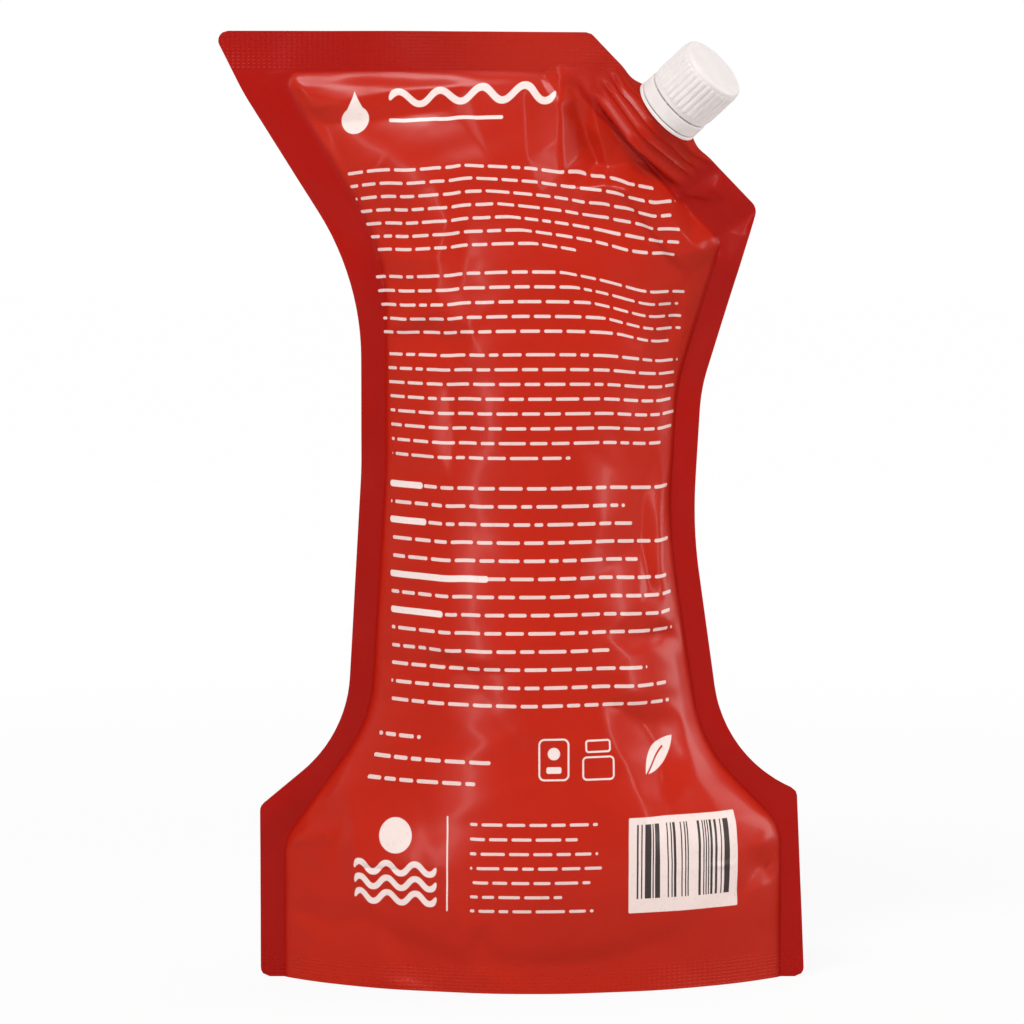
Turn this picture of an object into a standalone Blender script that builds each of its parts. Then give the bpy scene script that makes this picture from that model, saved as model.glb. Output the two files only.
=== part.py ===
"""Filled stand-up refill pouch with a screw-capped spout in its cut corner.

Metres, +Z up. The origin is the middle of the bottom gusset's flat, where the pouch rests.
+X is to the right and -Y towards the viewer when the printed back panel is looked at.
"""
import math

import bmesh
import bpy
import numpy as np
from mathutils import Matrix, Vector

# Gap that separate pieces keep where they touch
TOUCH = 0.0003

# Film border, looking square at the printed side
PACK_HEIGHT = 0.2955
BASE_HALF_WIDTH = 0.0851
BASE_CORNER_R = 0.0028
SHOULDER_R = 0.0030
LEFT_SHOULDER_Z = 0.0540
RIGHT_SHOULDER_Z = 0.0590
RIGHT_SHOULDER_IN = 0.0025
LEFT_HIP_X = -0.0580
LEFT_HIP_Z = 0.0762
LEFT_HIP_R = 0.0420
RIGHT_HIP_X = 0.0600
RIGHT_HIP_Z = 0.0689
RIGHT_HIP_R = 0.0410
LEFT_WAIST_X = -0.0532
LEFT_WAIST_Z = 0.1600
RIGHT_WAIST_X = 0.0498
RIGHT_WAIST_Z = 0.1420
WAIST_R = 0.1500
LEFT_FLARE_Z = 0.2185
LEFT_FLARE_R = 0.0850
LEFT_BEND_X = -0.0894
LEFT_BEND_Z = 0.2765
LEFT_BEND_R = 0.0800
RIGHT_FLARE_X = 0.0523
RIGHT_FLARE_Z = 0.1845
RIGHT_FLARE_R = 0.0600
LEFT_TIP_X = -0.0990
LEFT_TIP_R = 0.0030
CUT_TOP_X = 0.0175
CUT_TOP_R = 0.0030
CUT_TIP_X = 0.0690
CUT_TIP_Z = 0.2415
CUT_TIP_R = 0.0040

# Welds and film
FILM = 0.0002
SIDE_WELD = 0.0074
FLARE_WELD = 0.0110
TOP_WELD = 0.0122
CUT_WELD = 0.0148
FILL_CORNER_R = 0.0040
FILL_HIP_R = 0.0450
FILL_LEFT_FLARE_R = 0.0590
FILL_FLARE_R = 0.0600
FILL_SHOULDER_R = 0.0150
FILL_SHOULDER_DROP = 0.0110
FILL_HIP_RISE = 0.0050

# Half depth of the filled pouch on its centre line, by height
FOOT_DEPTH = 0.0325
BELLY_DEPTH = 0.0355
BELLY_Z = 0.0330
HIP_DEPTH = 0.0300
HIP_Z = 0.0820
WAIST_DEPTH = 0.0232
WAIST_Z = 0.1500
CHEST_DEPTH = 0.0212
CHEST_Z = 0.1950
NECK_DEPTH = 0.0120
NECK_Z = 0.2500
FILL_ROUNDNESS = 0.85
CREASE_FADE = 0.0040

# Bottom gusset: the two skirts and the film between them
SKIRT_HEIGHT = 0.0140
FOLD_HEIGHT = 0.0440
GROOVE_WIDTH = 0.0006
GUSSET_RUN = 0.0090
GUSSET_RUN_SHARE = 0.3
GUSSET_SAG = 1.15

# Lean of the spout corner towards the viewer
LEAN_ANGLE = math.radians(20.0)
LEAN_START = 0.0450
LEAN_BLEND = 0.0120

# Creases of the film, as start, end, depth and width in the plane of the pack. A ridge has a negative depth
PRINTED_CREASES = (
    ((0.0095, 0.2840), (0.0105, 0.2530), -0.0020, 0.0035),
    ((0.0140, 0.2490), (0.0480, 0.2350), -0.0024, 0.0065),
    ((0.0140, 0.2790), (0.0200, 0.2560), 0.0034, 0.0045),
    ((0.0230, 0.2590), (0.0420, 0.2500), 0.0024, 0.0055),
    ((0.0660, 0.2330), (0.0540, 0.2210), 0.0020, 0.0045),
    ((-0.0420, 0.2270), (-0.0360, 0.1930), 0.0012, 0.0050),
    ((-0.0330, 0.1120), (-0.0200, 0.1000), 0.0012, 0.0050),
    ((0.0330, 0.0830), (0.0420, 0.0580), 0.0015, 0.0050),
    ((-0.0700, 0.0330), (-0.0500, 0.0240), 0.0010, 0.0050),
    ((0.0600, 0.0350), (0.0740, 0.0310), 0.0010, 0.0045),
)
PLAIN_CREASES = (
    ((0.0120, 0.2760), (0.0270, 0.2540), 0.0026, 0.0050),
    ((0.0350, 0.2450), (0.0540, 0.2300), 0.0020, 0.0050),
    ((-0.0600, 0.2620), (-0.0480, 0.2350), 0.0014, 0.0050),
    ((0.0300, 0.1500), (0.0400, 0.1280), 0.0010, 0.0050),
    ((-0.0420, 0.0850), (-0.0350, 0.0580), 0.0014, 0.0050),
)

# Spout, measured along its own axis from the film's cut edge
SPOUT_ALONG_CUT = 0.453
BOAT_HALF_LENGTH = 0.0200
BOAT_HALF_DEPTH = 0.0072
BOAT_LENGTH = 0.0120
BOAT_RIBS = 4
BOAT_RIB = 0.0010
BOAT_RIB_RISE = 0.0007
BOAT_TIP = 0.0008
BOAT_SLEEVE = 0.0006
BOAT_BORE_R = 0.0052
BOAT_ARC_STEPS = 7
SLEEVE_RUN = 0.0013
COLLAR_LEDGE = 0.0002
COLLAR_T = 0.0010
NECK_R = 0.0085
NECK_BORE_R = 0.0069
BEAD_RISE = 0.0009
BEAD_T = 0.0010
BEAD_PLAY = 0.0007
EDGE = 0.0003

# Screw thread of the neck and the cap
THREAD_PITCH = 0.0032
THREAD_TURNS = 1.5
THREAD_R = 0.0008
THREAD_RUNOUT = 0.4
RUNOUT_STEPS = 4
THREAD_BELOW_MOUTH = 0.0018

# Tamper ring
RING_WALL = 0.0015
RING_HEIGHT = 0.0042
RING_LIP_T = 0.0008

# Cap and its sealing disc
CAP_GAP = 0.0006
CAP_WALL = 0.0014
CAP_ROOF = 0.0014
CAP_HEIGHT = 0.0152
CAP_EDGE_R = 0.0012
CAP_CROWN = 0.0004
CAP_CROWN_SHARE = 0.75
KNURLS = 36
KNURL_RISE = 0.0003
KNURL_WIDTH = 0.0009
KNURL_BOTTOM = 0.0016
KNURL_TOP = 0.0018
KNURL_TAPER = 0.5
WAD_T = 0.0012
WAD_PLAY = 0.0003

# Fits, worked out from the sizes above
BEAD_R = NECK_R + BEAD_RISE
RING_INNER_R = BEAD_R + TOUCH
RING_R = RING_INNER_R + RING_WALL
RING_LIP_R = NECK_R + TOUCH
COLLAR_R = RING_R + COLLAR_LEDGE
COLLAR_TOP = TOUCH + COLLAR_T
COLLAR_FOOT_R = BOAT_HALF_DEPTH - 2 * TOUCH
RING_BOTTOM = COLLAR_TOP + TOUCH
BEAD_BOTTOM = RING_BOTTOM + RING_LIP_T + RING_INNER_R - RING_LIP_R + BEAD_PLAY
CAP_BOTTOM = RING_BOTTOM + RING_HEIGHT + CAP_GAP
CAP_TOP = CAP_BOTTOM + CAP_HEIGHT
CAP_INNER_R = NECK_R + THREAD_R + TOUCH
CAP_R = CAP_INNER_R + CAP_WALL
WAD_TOP = CAP_TOP - CAP_ROOF - TOUCH
NECK_TOP = WAD_TOP - WAD_T - TOUCH
THREAD_START = NECK_TOP - THREAD_BELOW_MOUTH - THREAD_TURNS * THREAD_PITCH

# Steps of the meshes
ROUND_STEPS = 48
HELIX_STEPS = 20
EDGE_STEPS = 4
SHARP_ANGLE = math.radians(35)
LEFT_BAND_COLUMNS = 2
FILL_COLUMNS = 20
RIGHT_BAND_COLUMNS = 5

EPS = 0.0001

# Colours, linear
FILM_RED = (0.50, 0.018, 0.012)
SPOUT_WHITE = (0.80, 0.78, 0.76)
CAP_WHITE = (0.86, 0.84, 0.82)
WAD_WHITE = (0.75, 0.75, 0.73)


def rounded(corners, steps=6):
    """Line past corners (x, z, radius), each turned by an arc. The two ends only guide it."""
    points = []
    for before, here, after in zip(corners, corners[1:], corners[2:], strict=False):
        p = np.array(here[:2])
        a = np.array(before[:2]) - p
        b = np.array(after[:2]) - p
        a /= np.linalg.norm(a)
        b /= np.linalg.norm(b)
        half = 0.5 * math.acos(float(np.clip(a @ b, -1, 1)))
        reach = here[2] / math.tan(half)
        centre = p + (a + b) / np.linalg.norm(a + b) * here[2] / math.sin(half)
        start = p + a * reach - centre
        end = p + b * reach - centre
        for k in range(steps + 1):
            mix = start * (1 - k / steps) + end * (k / steps)
            points.append(centre + mix / np.linalg.norm(mix) * here[2])
    return np.array(points)


def crossing(p, along_p, q, along_q):
    """Point where the line through p meets the line through q."""
    share = np.linalg.solve(np.column_stack([along_p, -along_q]), q - p)
    return p + share[0] * along_p


def x_at(line, z):
    """Place across of a line, which runs upwards, at height z."""
    return np.interp(z, line[:, 1], line[:, 0])


def smooth_through(points, z):
    """Monotone cubic curve through points (z, value), with level ends."""
    p = np.array(points)
    step = np.diff(p[:, 0])
    rate = np.diff(p[:, 1]) / step
    slope = np.zeros(len(p))
    same = rate[1:] * rate[:-1] > 0
    slope[1:-1][same] = 2 * rate[1:][same] * rate[:-1][same] / (rate[1:] + rate[:-1])[same]
    slope[-1] = rate[-1]
    i = np.clip(np.searchsorted(p[:, 0], z) - 1, 0, len(step) - 1)
    t = np.clip((z - p[i, 0]) / step[i], 0, 1)
    a = (1 + 2 * t) * (1 - t) ** 2 * p[i, 1] + t * (1 - t) ** 2 * step[i] * slope[i]
    return a + t * t * (3 - 2 * t) * p[i + 1, 1] + t * t * (t - 1) * step[i] * slope[i + 1]


UP = np.array([0.0, 1.0])
ACROSS = np.array([1.0, 0.0])

LEFT_EDGE = rounded((
    (0, 0),
    (-BASE_HALF_WIDTH, 0, BASE_CORNER_R),
    (-BASE_HALF_WIDTH, LEFT_SHOULDER_Z, SHOULDER_R),
    (LEFT_HIP_X, LEFT_HIP_Z, LEFT_HIP_R),
    (LEFT_WAIST_X, LEFT_WAIST_Z, WAIST_R),
    (LEFT_WAIST_X, LEFT_FLARE_Z, LEFT_FLARE_R),
    (LEFT_BEND_X, LEFT_BEND_Z, LEFT_BEND_R),
    (LEFT_TIP_X, PACK_HEIGHT, LEFT_TIP_R),
    (0, PACK_HEIGHT),
))
RIGHT_EDGE = rounded((
    (0, 0),
    (BASE_HALF_WIDTH, 0, BASE_CORNER_R),
    (BASE_HALF_WIDTH - RIGHT_SHOULDER_IN, RIGHT_SHOULDER_Z, SHOULDER_R),
    (RIGHT_HIP_X, RIGHT_HIP_Z, RIGHT_HIP_R),
    (RIGHT_WAIST_X, RIGHT_WAIST_Z, WAIST_R),
    (RIGHT_FLARE_X, RIGHT_FLARE_Z, RIGHT_FLARE_R),
    (CUT_TIP_X, CUT_TIP_Z, CUT_TIP_R),
    (CUT_TOP_X, PACK_HEIGHT, CUT_TOP_R),
    (0, PACK_HEIGHT),
))

# The cut corner: its ends, its direction and the way out of the film
CUT_TOP = np.array([CUT_TOP_X, PACK_HEIGHT])
CUT_TIP = np.array([CUT_TIP_X, CUT_TIP_Z])
CUT_ALONG = (CUT_TIP - CUT_TOP) / np.linalg.norm(CUT_TIP - CUT_TOP)
CUT_OUT = np.array([-CUT_ALONG[1], CUT_ALONG[0]])

# Inner lines of the welds, which bound the filled part
FILL_TOP = PACK_HEIGHT - TOP_WELD
LEFT_WAIST = np.array([LEFT_WAIST_X, LEFT_FLARE_Z])
LEFT_RISE = np.array([LEFT_TIP_X, PACK_HEIGHT]) - LEFT_WAIST
LEFT_RISE /= np.linalg.norm(LEFT_RISE)
LEFT_INNER = LEFT_WAIST + np.array([LEFT_RISE[1], -LEFT_RISE[0]]) * FLARE_WELD
RIGHT_WAIST = np.array([RIGHT_FLARE_X, RIGHT_FLARE_Z])
RIGHT_RISE = CUT_TIP - RIGHT_WAIST
RIGHT_RISE /= np.linalg.norm(RIGHT_RISE)
RIGHT_INNER = RIGHT_WAIST + np.array([-RIGHT_RISE[1], RIGHT_RISE[0]]) * SIDE_WELD
CUT_INNER = CUT_TOP - CUT_OUT * CUT_WELD
LEFT_TURN = crossing(LEFT_INNER, LEFT_RISE, np.array([LEFT_WAIST_X + SIDE_WELD, 0]), UP)
LEFT_CORNER = crossing(LEFT_INNER, LEFT_RISE, np.array([0, FILL_TOP]), ACROSS)
RIGHT_CORNER = crossing(CUT_INNER, CUT_ALONG, RIGHT_INNER, RIGHT_RISE)
CUT_CORNER = crossing(CUT_INNER, CUT_ALONG, np.array([0, FILL_TOP]), ACROSS)

FILL_LEFT = rounded((
    (-BASE_HALF_WIDTH + SIDE_WELD, -FOLD_HEIGHT),
    (-BASE_HALF_WIDTH + SIDE_WELD, LEFT_SHOULDER_Z - FILL_SHOULDER_DROP, FILL_SHOULDER_R),
    (LEFT_HIP_X + SIDE_WELD, LEFT_HIP_Z + FILL_HIP_RISE, FILL_HIP_R),
    (LEFT_WAIST_X + SIDE_WELD, LEFT_WAIST_Z, WAIST_R),
    (*LEFT_TURN, FILL_LEFT_FLARE_R),
    (*LEFT_CORNER, FILL_CORNER_R),
    (0, FILL_TOP),
))
FILL_RIGHT = rounded((
    (BASE_HALF_WIDTH - SIDE_WELD, -FOLD_HEIGHT),
    (BASE_HALF_WIDTH - SIDE_WELD, RIGHT_SHOULDER_Z - FILL_SHOULDER_DROP, FILL_SHOULDER_R),
    (RIGHT_HIP_X - SIDE_WELD, RIGHT_HIP_Z + FILL_HIP_RISE, FILL_HIP_R),
    (RIGHT_WAIST_X - SIDE_WELD, RIGHT_WAIST_Z, WAIST_R),
    (*crossing(RIGHT_INNER, RIGHT_RISE, np.array([RIGHT_FLARE_X - SIDE_WELD, 0]), UP), FILL_FLARE_R),
    (*RIGHT_CORNER, FILL_CORNER_R),
    (*CUT_CORNER, FILL_CORNER_R),
    (0, FILL_TOP),
))

HALF_DEPTH = (
    (0, FOOT_DEPTH),
    (BELLY_Z, BELLY_DEPTH),
    (HIP_Z, HIP_DEPTH),
    (WAIST_Z, WAIST_DEPTH),
    (CHEST_Z, CHEST_DEPTH),
    (NECK_Z, NECK_DEPTH),
    (FILL_TOP, 0),
)


def lean(x, z):
    """Offset of the welds' plane along Y, and how fast it grows away from the cut corner."""
    reach = (x - CUT_TOP[0]) * CUT_OUT[0] + (z - CUT_TOP[1]) * CUT_OUT[1] + LEAN_START
    share = np.clip(0.5 + reach / (2 * LEAN_BLEND), 0, 1)
    offset = np.where(reach > LEAN_BLEND, reach, LEAN_BLEND * share**2)
    return -math.tan(LEAN_ANGLE) * offset, -math.tan(LEAN_ANGLE) * share


SPOUT_FOOT = CUT_TOP + CUT_ALONG * SPOUT_ALONG_CUT * np.linalg.norm(CUT_TIP - CUT_TOP)
SPOUT_ORIGIN = Vector((SPOUT_FOOT[0], float(lean(*SPOUT_FOOT)[0]), SPOUT_FOOT[1]))
SPOUT_ALONG = Vector((CUT_ALONG[0], 0, CUT_ALONG[1]))
SPOUT_AXIS = Vector((
    CUT_OUT[0] * math.cos(LEAN_ANGLE),
    -math.sin(LEAN_ANGLE),
    CUT_OUT[1] * math.cos(LEAN_ANGLE),
))


def boat_depth(along, grow):
    """Half depth of the boat's outline, grown evenly by a margin: a circle with straight wings."""
    radius = BOAT_HALF_DEPTH + grow
    slant = math.asin(min(BOAT_HALF_DEPTH / BOAT_HALF_LENGTH, 0.99))
    tip = radius / math.sin(slant)
    wing = (tip - np.abs(along)) * math.tan(slant)
    crown = np.sqrt(np.maximum(radius**2 - along**2, 0))
    return np.where(np.abs(along) < radius * math.sin(slant), crown, wing)


def smoothstep(low, high, value):
    t = np.clip((value - low) / (high - low), 0, 1)
    return t * t * (3 - 2 * t)


def crease(x, z, start, end, depth, width):
    """Rounded valley along a segment, shallow towards both ends."""
    ax, az = start
    dx, dz = end[0] - ax, end[1] - az
    length = math.hypot(dx, dz)
    t = ((x - ax) * dx + (z - az) * dz) / length**2
    across = ((x - ax) * dz - (z - az) * dx) / length
    return depth * np.exp(-((across / width) ** 2)) * np.exp(-((2 * t - 1) ** 4))


def film_depth(x, z, creases):
    """Half depth of the pouch, from the welds' plane to the outside of the film."""
    left = x_at(FILL_LEFT, z)
    right = x_at(FILL_RIGHT, z)
    s = np.clip((x - left) / (right - left), 0, 1)
    fill = smooth_through(HALF_DEPTH, z) * (4 * s * (1 - s)) ** FILL_ROUNDNESS
    fill = np.where(z < FILL_TOP, fill, 0)
    for one in creases:
        fill = fill - crease(x, z, *one) * np.clip(fill / CREASE_FADE, 0, 1)
    layers = FILM * (2 - smoothstep(FOLD_HEIGHT, LEFT_SHOULDER_Z, z))
    along = (x - SPOUT_FOOT[0]) * CUT_ALONG[0] + (z - SPOUT_FOOT[1]) * CUT_ALONG[1]
    deep = (x - SPOUT_FOOT[0]) * CUT_OUT[0] + (z - SPOUT_FOOT[1]) * CUT_OUT[1]
    deep = -deep / math.cos(LEAN_ANGLE)
    sleeve = boat_depth(along, TOUCH + BOAT_SLEEVE)
    sleeve = sleeve * (1 - smoothstep(BOAT_LENGTH + SLEEVE_RUN, BOAT_LENGTH + 4 * SLEEVE_RUN, deep))
    return np.maximum(fill + layers, sleeve)


def panel(x, z, side, creases):
    """Points of one panel's outside: side is -1 for the printed panel and 1 for the other."""
    offset, rate = lean(x, z)
    normal = np.stack([-rate * CUT_OUT[0], np.ones_like(x), -rate * CUT_OUT[1]], axis=-1)
    normal /= np.linalg.norm(normal, axis=-1, keepdims=True)
    middle = np.stack([x, offset, z], axis=-1)
    return middle + side * film_depth(x, z, creases)[..., None] * normal


def row_heights():
    """Heights of the pouch's sections, closer together at its corners and along the cut."""
    stops = (
        (0, 0),
        (BASE_CORNER_R, 3),
        (SKIRT_HEIGHT, 2),
        (LEFT_SHOULDER_Z, 6),
        (RIGHT_SHOULDER_Z, 2),
        (HIP_Z, 5),
        (WAIST_Z, 8),
        (RIGHT_FLARE_Z, 5),
        (CUT_TIP_Z, 10),
        (FILL_TOP, 16),
        (PACK_HEIGHT - LEFT_TIP_R, 3),
        (PACK_HEIGHT, 3),
    )
    heights = [0.0]
    for (low, _), (high, count) in zip(stops, stops[1:], strict=False):
        heights.extend(low + (high - low) * (k + 1) / count for k in range(count))
    heights = np.sort(np.array(heights))
    keep = np.append(np.diff(heights) > EPS, True)
    return heights[keep]


def columns(z):
    """x of the columns of one section: two welded borders with the filled part between."""
    left, right = x_at(LEFT_EDGE, z), x_at(RIGHT_EDGE, z)
    fill_left, fill_right = x_at(FILL_LEFT, z), x_at(FILL_RIGHT, z)
    t = np.linspace(0, 1, FILL_COLUMNS + 1)
    t = t - 0.5 * np.sin(2 * math.pi * t) / (2 * math.pi)
    return np.concatenate([
        np.linspace(left, fill_left, LEFT_BAND_COLUMNS + 1)[:-1],
        fill_left + (fill_right - fill_left) * t,
        np.linspace(fill_right, right, RIGHT_BAND_COLUMNS + 1)[1:],
    ])


def gusset_profile(x, half_depth):
    """Underside at one column, as (y, z) from one skirt's inner edge to the other's."""
    skirt = half_depth(x, 0.0)
    share = 1 - min(skirt / FOOT_DEPTH, 1)
    top = SKIRT_HEIGHT + (FOLD_HEIGHT - SKIRT_HEIGHT) * share**2
    half = [(-half_depth(x, top * k / 3), top * k / 3) for k in range(4)]
    inner = half_depth(x, top) - GROOVE_WIDTH
    run = min(GUSSET_RUN, GUSSET_RUN_SHARE * inner)
    floor = max(0.0, top - GUSSET_SAG * inner)
    for k in range(4):
        turn = 0.5 * math.pi * k / 3
        half.append((-inner + run * (1 - math.cos(turn)), floor + (top - floor) * (1 - math.sin(turn))))
    return half + [(0, floor)] + [(-y, z) for y, z in reversed(half)]


def mesh_object(name, points, faces, collection):
    mesh = bpy.data.meshes.new(name)
    mesh.from_pydata([tuple(p) for p in points], [], faces)
    work = bmesh.new()
    work.from_mesh(mesh)
    bmesh.ops.triangulate(work, faces=work.faces[:])
    bmesh.ops.recalc_face_normals(work, faces=work.faces[:])
    work.to_mesh(mesh)
    work.free()
    made = bpy.data.objects.new(name, mesh)
    collection.objects.link(made)
    return made


def build_pouch(collection):
    """Loft through the pouch's sections, closed by the border's edge and the gusset below."""
    heights = row_heights()
    x = np.array([columns(z) for z in heights])
    z = np.repeat(heights[:, None], x.shape[1], axis=1)
    near = panel(x, z, -1, PRINTED_CREASES)
    far = panel(x, z, 1, PLAIN_CREASES)
    middle = np.stack([x, lean(x, z)[0], z], axis=-1)
    rows, cols = x.shape
    points = np.concatenate([near.reshape(-1, 3), far.reshape(-1, 3), middle.reshape(-1, 3)]).tolist()

    def at(sheet, row, col):
        return sheet * rows * cols + row * cols + col

    faces = []
    for r in range(rows - 1):
        for c in range(cols - 1):
            for sheet in (0, 1):
                corners = [(r, c), (r, c + 1), (r + 1, c + 1), (r + 1, c)]
                faces.append([at(sheet, *corner) for corner in corners])
        for c in (0, cols - 1):
            for sheet in (0, 1):
                faces.append([at(sheet, r, c), at(2, r, c), at(2, r + 1, c), at(sheet, r + 1, c)])
    for c in range(cols - 1):
        for sheet in (0, 1):
            top = rows - 1
            faces.append([at(sheet, top, c), at(2, top, c), at(2, top, c + 1), at(sheet, top, c + 1)])

    def half_depth(column_x, height):
        depth = film_depth(np.array(column_x), np.array(height), ()) - 2 * FILM
        return float(depth)

    first = LEFT_BAND_COLUMNS
    last = first + FILL_COLUMNS
    strips = {c: [at(2, 0, c)] for c in range(cols)}
    for c in range(first + 1, last):
        profile = gusset_profile(x[0, c], half_depth)
        strips[c] = list(range(len(points), len(points) + len(profile)))
        points.extend([x[0, c], y, height] for y, height in profile)
    for c in range(cols - 1):
        here, there = strips[c], strips[c + 1]
        faces.append([at(0, 0, c), at(0, 0, c + 1), there[0], here[0]])
        faces.append([at(1, 0, c), at(1, 0, c + 1), there[-1], here[-1]])
        if len(here) == len(there):
            faces.extend([here[k], here[k + 1], there[k + 1], there[k]] for k in range(len(here) - 1))
        else:
            apex, fan = (here[0], there) if len(here) == 1 else (there[0], here)
            faces.extend([apex, fan[k], fan[k + 1]] for k in range(len(fan) - 1))
    used = sorted({i for face in faces for i in face})
    renumber = {old: new for new, old in enumerate(used)}
    faces = [[renumber[i] for i in face] for face in faces]
    return mesh_object("pouch", [points[i] for i in used], faces, collection)


def turned(name, profile, parent, collection, steps=ROUND_STEPS):
    """Profile (radius, height) turned about the parent's Z, listed down its outer side."""
    mesh = bpy.data.meshes.new(name)
    points = [(radius, 0, height) for radius, height in profile]
    on_axis = profile[0][0] == 0 and profile[-1][0] == 0
    edges = [(k, k + 1) for k in range(len(points) - 1)]
    mesh.from_pydata(points, edges if on_axis else edges + [(len(points) - 1, 0)], [])
    made = bpy.data.objects.new(name, mesh)
    collection.objects.link(made)
    made.parent = parent
    screw = made.modifiers.new("Turn", "SCREW")
    screw.axis = "Z"
    screw.angle = 2 * math.pi
    screw.steps = steps
    screw.render_steps = steps
    screw.use_merge_vertices = True
    screw.merge_threshold = 0.00001
    screw.use_normal_calculate = False
    return made


def as_tool(tool):
    tool.hide_render = True
    tool.display_type = "WIRE"
    return tool


def combine(target, tool, operation):
    boolean = target.modifiers.new(tool.name, "BOOLEAN")
    boolean.operation = operation
    boolean.solver = "EXACT"
    boolean.object = as_tool(tool)


def plate(name, grow, shorten, bottom, top, parent, collection):
    """Flat plate with the boat's outline, grown by a margin, between two heights."""
    radius = BOAT_HALF_DEPTH + grow
    slant = math.asin(min(BOAT_HALF_DEPTH / BOAT_HALF_LENGTH, 0.99))
    tip = radius / math.sin(slant) - shorten
    reach = radius * math.sin(slant)
    side = [-tip, *np.linspace(-reach, reach, BOAT_ARC_STEPS), tip]
    depth = boat_depth(np.array(side), grow)
    outline = [*zip(side, depth, strict=True), *zip(side[::-1], -depth[::-1], strict=True)]
    work = bmesh.new()
    corners = [work.verts.new((x, y, bottom)) for x, y in outline]
    face = work.faces.new(corners[::-1])
    raised = bmesh.ops.extrude_face_region(work, geom=[face])["geom"]
    verts = [item for item in raised if isinstance(item, bmesh.types.BMVert)]
    bmesh.ops.translate(work, verts=verts, vec=(0, 0, top - bottom))
    bmesh.ops.recalc_face_normals(work, faces=work.faces[:])
    mesh = bpy.data.meshes.new(name)
    work.to_mesh(mesh)
    work.free()
    made = bpy.data.objects.new(name, mesh)
    collection.objects.link(made)
    made.parent = parent
    return made


def thread_ridge(name, radius, start, parent, collection):
    """Round-backed helical ridge whose ends run out, as a mesh that can be joined."""
    curve = bpy.data.curves.new(name, "CURVE")
    curve.dimensions = "3D"
    curve.bevel_depth = THREAD_R
    curve.bevel_resolution = 1
    curve.use_fill_caps = True
    count = int(THREAD_TURNS * HELIX_STEPS) + 1
    spline = curve.splines.new("POLY")
    spline.points.add(count - 1)
    for k, point in enumerate(spline.points):
        turn = 2 * math.pi * k / HELIX_STEPS
        height = start + THREAD_PITCH * k / HELIX_STEPS
        point.co = (radius * math.cos(turn), radius * math.sin(turn), height, 1)
        point.radius = min(1, THREAD_RUNOUT + (1 - THREAD_RUNOUT) * min(k, count - 1 - k) / RUNOUT_STEPS)
    rough = bpy.data.objects.new(name + "_curve", curve)
    collection.objects.link(rough)
    bpy.context.view_layer.update()
    ready = rough.evaluated_get(bpy.context.evaluated_depsgraph_get())
    mesh = bpy.data.meshes.new_from_object(ready)
    work = bmesh.new()
    work.from_mesh(mesh)
    bmesh.ops.remove_doubles(work, verts=work.verts[:], dist=0.00001)
    bmesh.ops.recalc_face_normals(work, faces=work.faces[:])
    work.to_mesh(mesh)
    work.free()
    made = bpy.data.objects.new(name, mesh)
    collection.objects.link(made)
    made.matrix_world = rough.matrix_world.copy()
    made.parent = parent
    bpy.data.objects.remove(rough)
    return made


def build_spout(axis, collection, tools):
    """Boat with ribs, collar and threaded neck with its retaining bead, bored through."""
    spout = turned("spout", (
        (0, NECK_TOP),
        (NECK_R - EDGE, NECK_TOP),
        (NECK_R, NECK_TOP - EDGE),
        (NECK_R, BEAD_BOTTOM + BEAD_T + BEAD_RISE),
        (BEAD_R, BEAD_BOTTOM + BEAD_T),
        (BEAD_R, BEAD_BOTTOM),
        (NECK_R, BEAD_BOTTOM),
        (NECK_R, COLLAR_TOP),
        (COLLAR_R, COLLAR_TOP),
        (COLLAR_R, TOUCH),
        (COLLAR_FOOT_R, TOUCH),
        (COLLAR_FOOT_R, -BOAT_RIB / 2),
        (0, -BOAT_RIB / 2),
    ), axis, collection)
    core = plate("boat_core", -BOAT_RIB_RISE, 0, BOAT_RIB / 2 - BOAT_LENGTH, -BOAT_RIB / 3, axis, tools)
    combine(spout, core, "UNION")
    spacing = (BOAT_LENGTH - BOAT_RIB) / (BOAT_RIBS - 1)
    for k in range(BOAT_RIBS):
        rib = plate(f"boat_rib_{k}", 0, BOAT_TIP, -k * spacing - BOAT_RIB, -k * spacing, axis, tools)
        combine(spout, rib, "UNION")
    combine(spout, thread_ridge("neck_thread", NECK_R, THREAD_START, axis, tools), "UNION")
    bore = turned("bore_cutter", (
        (0, NECK_TOP + NECK_R),
        (NECK_BORE_R, NECK_TOP + NECK_R),
        (NECK_BORE_R, COLLAR_TOP),
        (BOAT_BORE_R, -BOAT_RIB),
        (BOAT_BORE_R, -2 * BOAT_LENGTH),
        (0, -2 * BOAT_LENGTH),
    ), axis, tools)
    combine(spout, bore, "DIFFERENCE")
    return spout


def build_tamper_ring(axis, collection):
    """Smooth band round the neck, held under the neck's bead by a lip."""
    top = RING_BOTTOM + RING_HEIGHT
    return turned("tamper_ring", (
        (RING_R - EDGE, top),
        (RING_R, top - EDGE),
        (RING_R, RING_BOTTOM),
        (RING_LIP_R, RING_BOTTOM),
        (RING_LIP_R, RING_BOTTOM + RING_LIP_T),
        (RING_INNER_R, RING_BOTTOM + RING_LIP_T + RING_INNER_R - RING_LIP_R),
        (RING_INNER_R, top),
    ), axis, collection)


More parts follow.
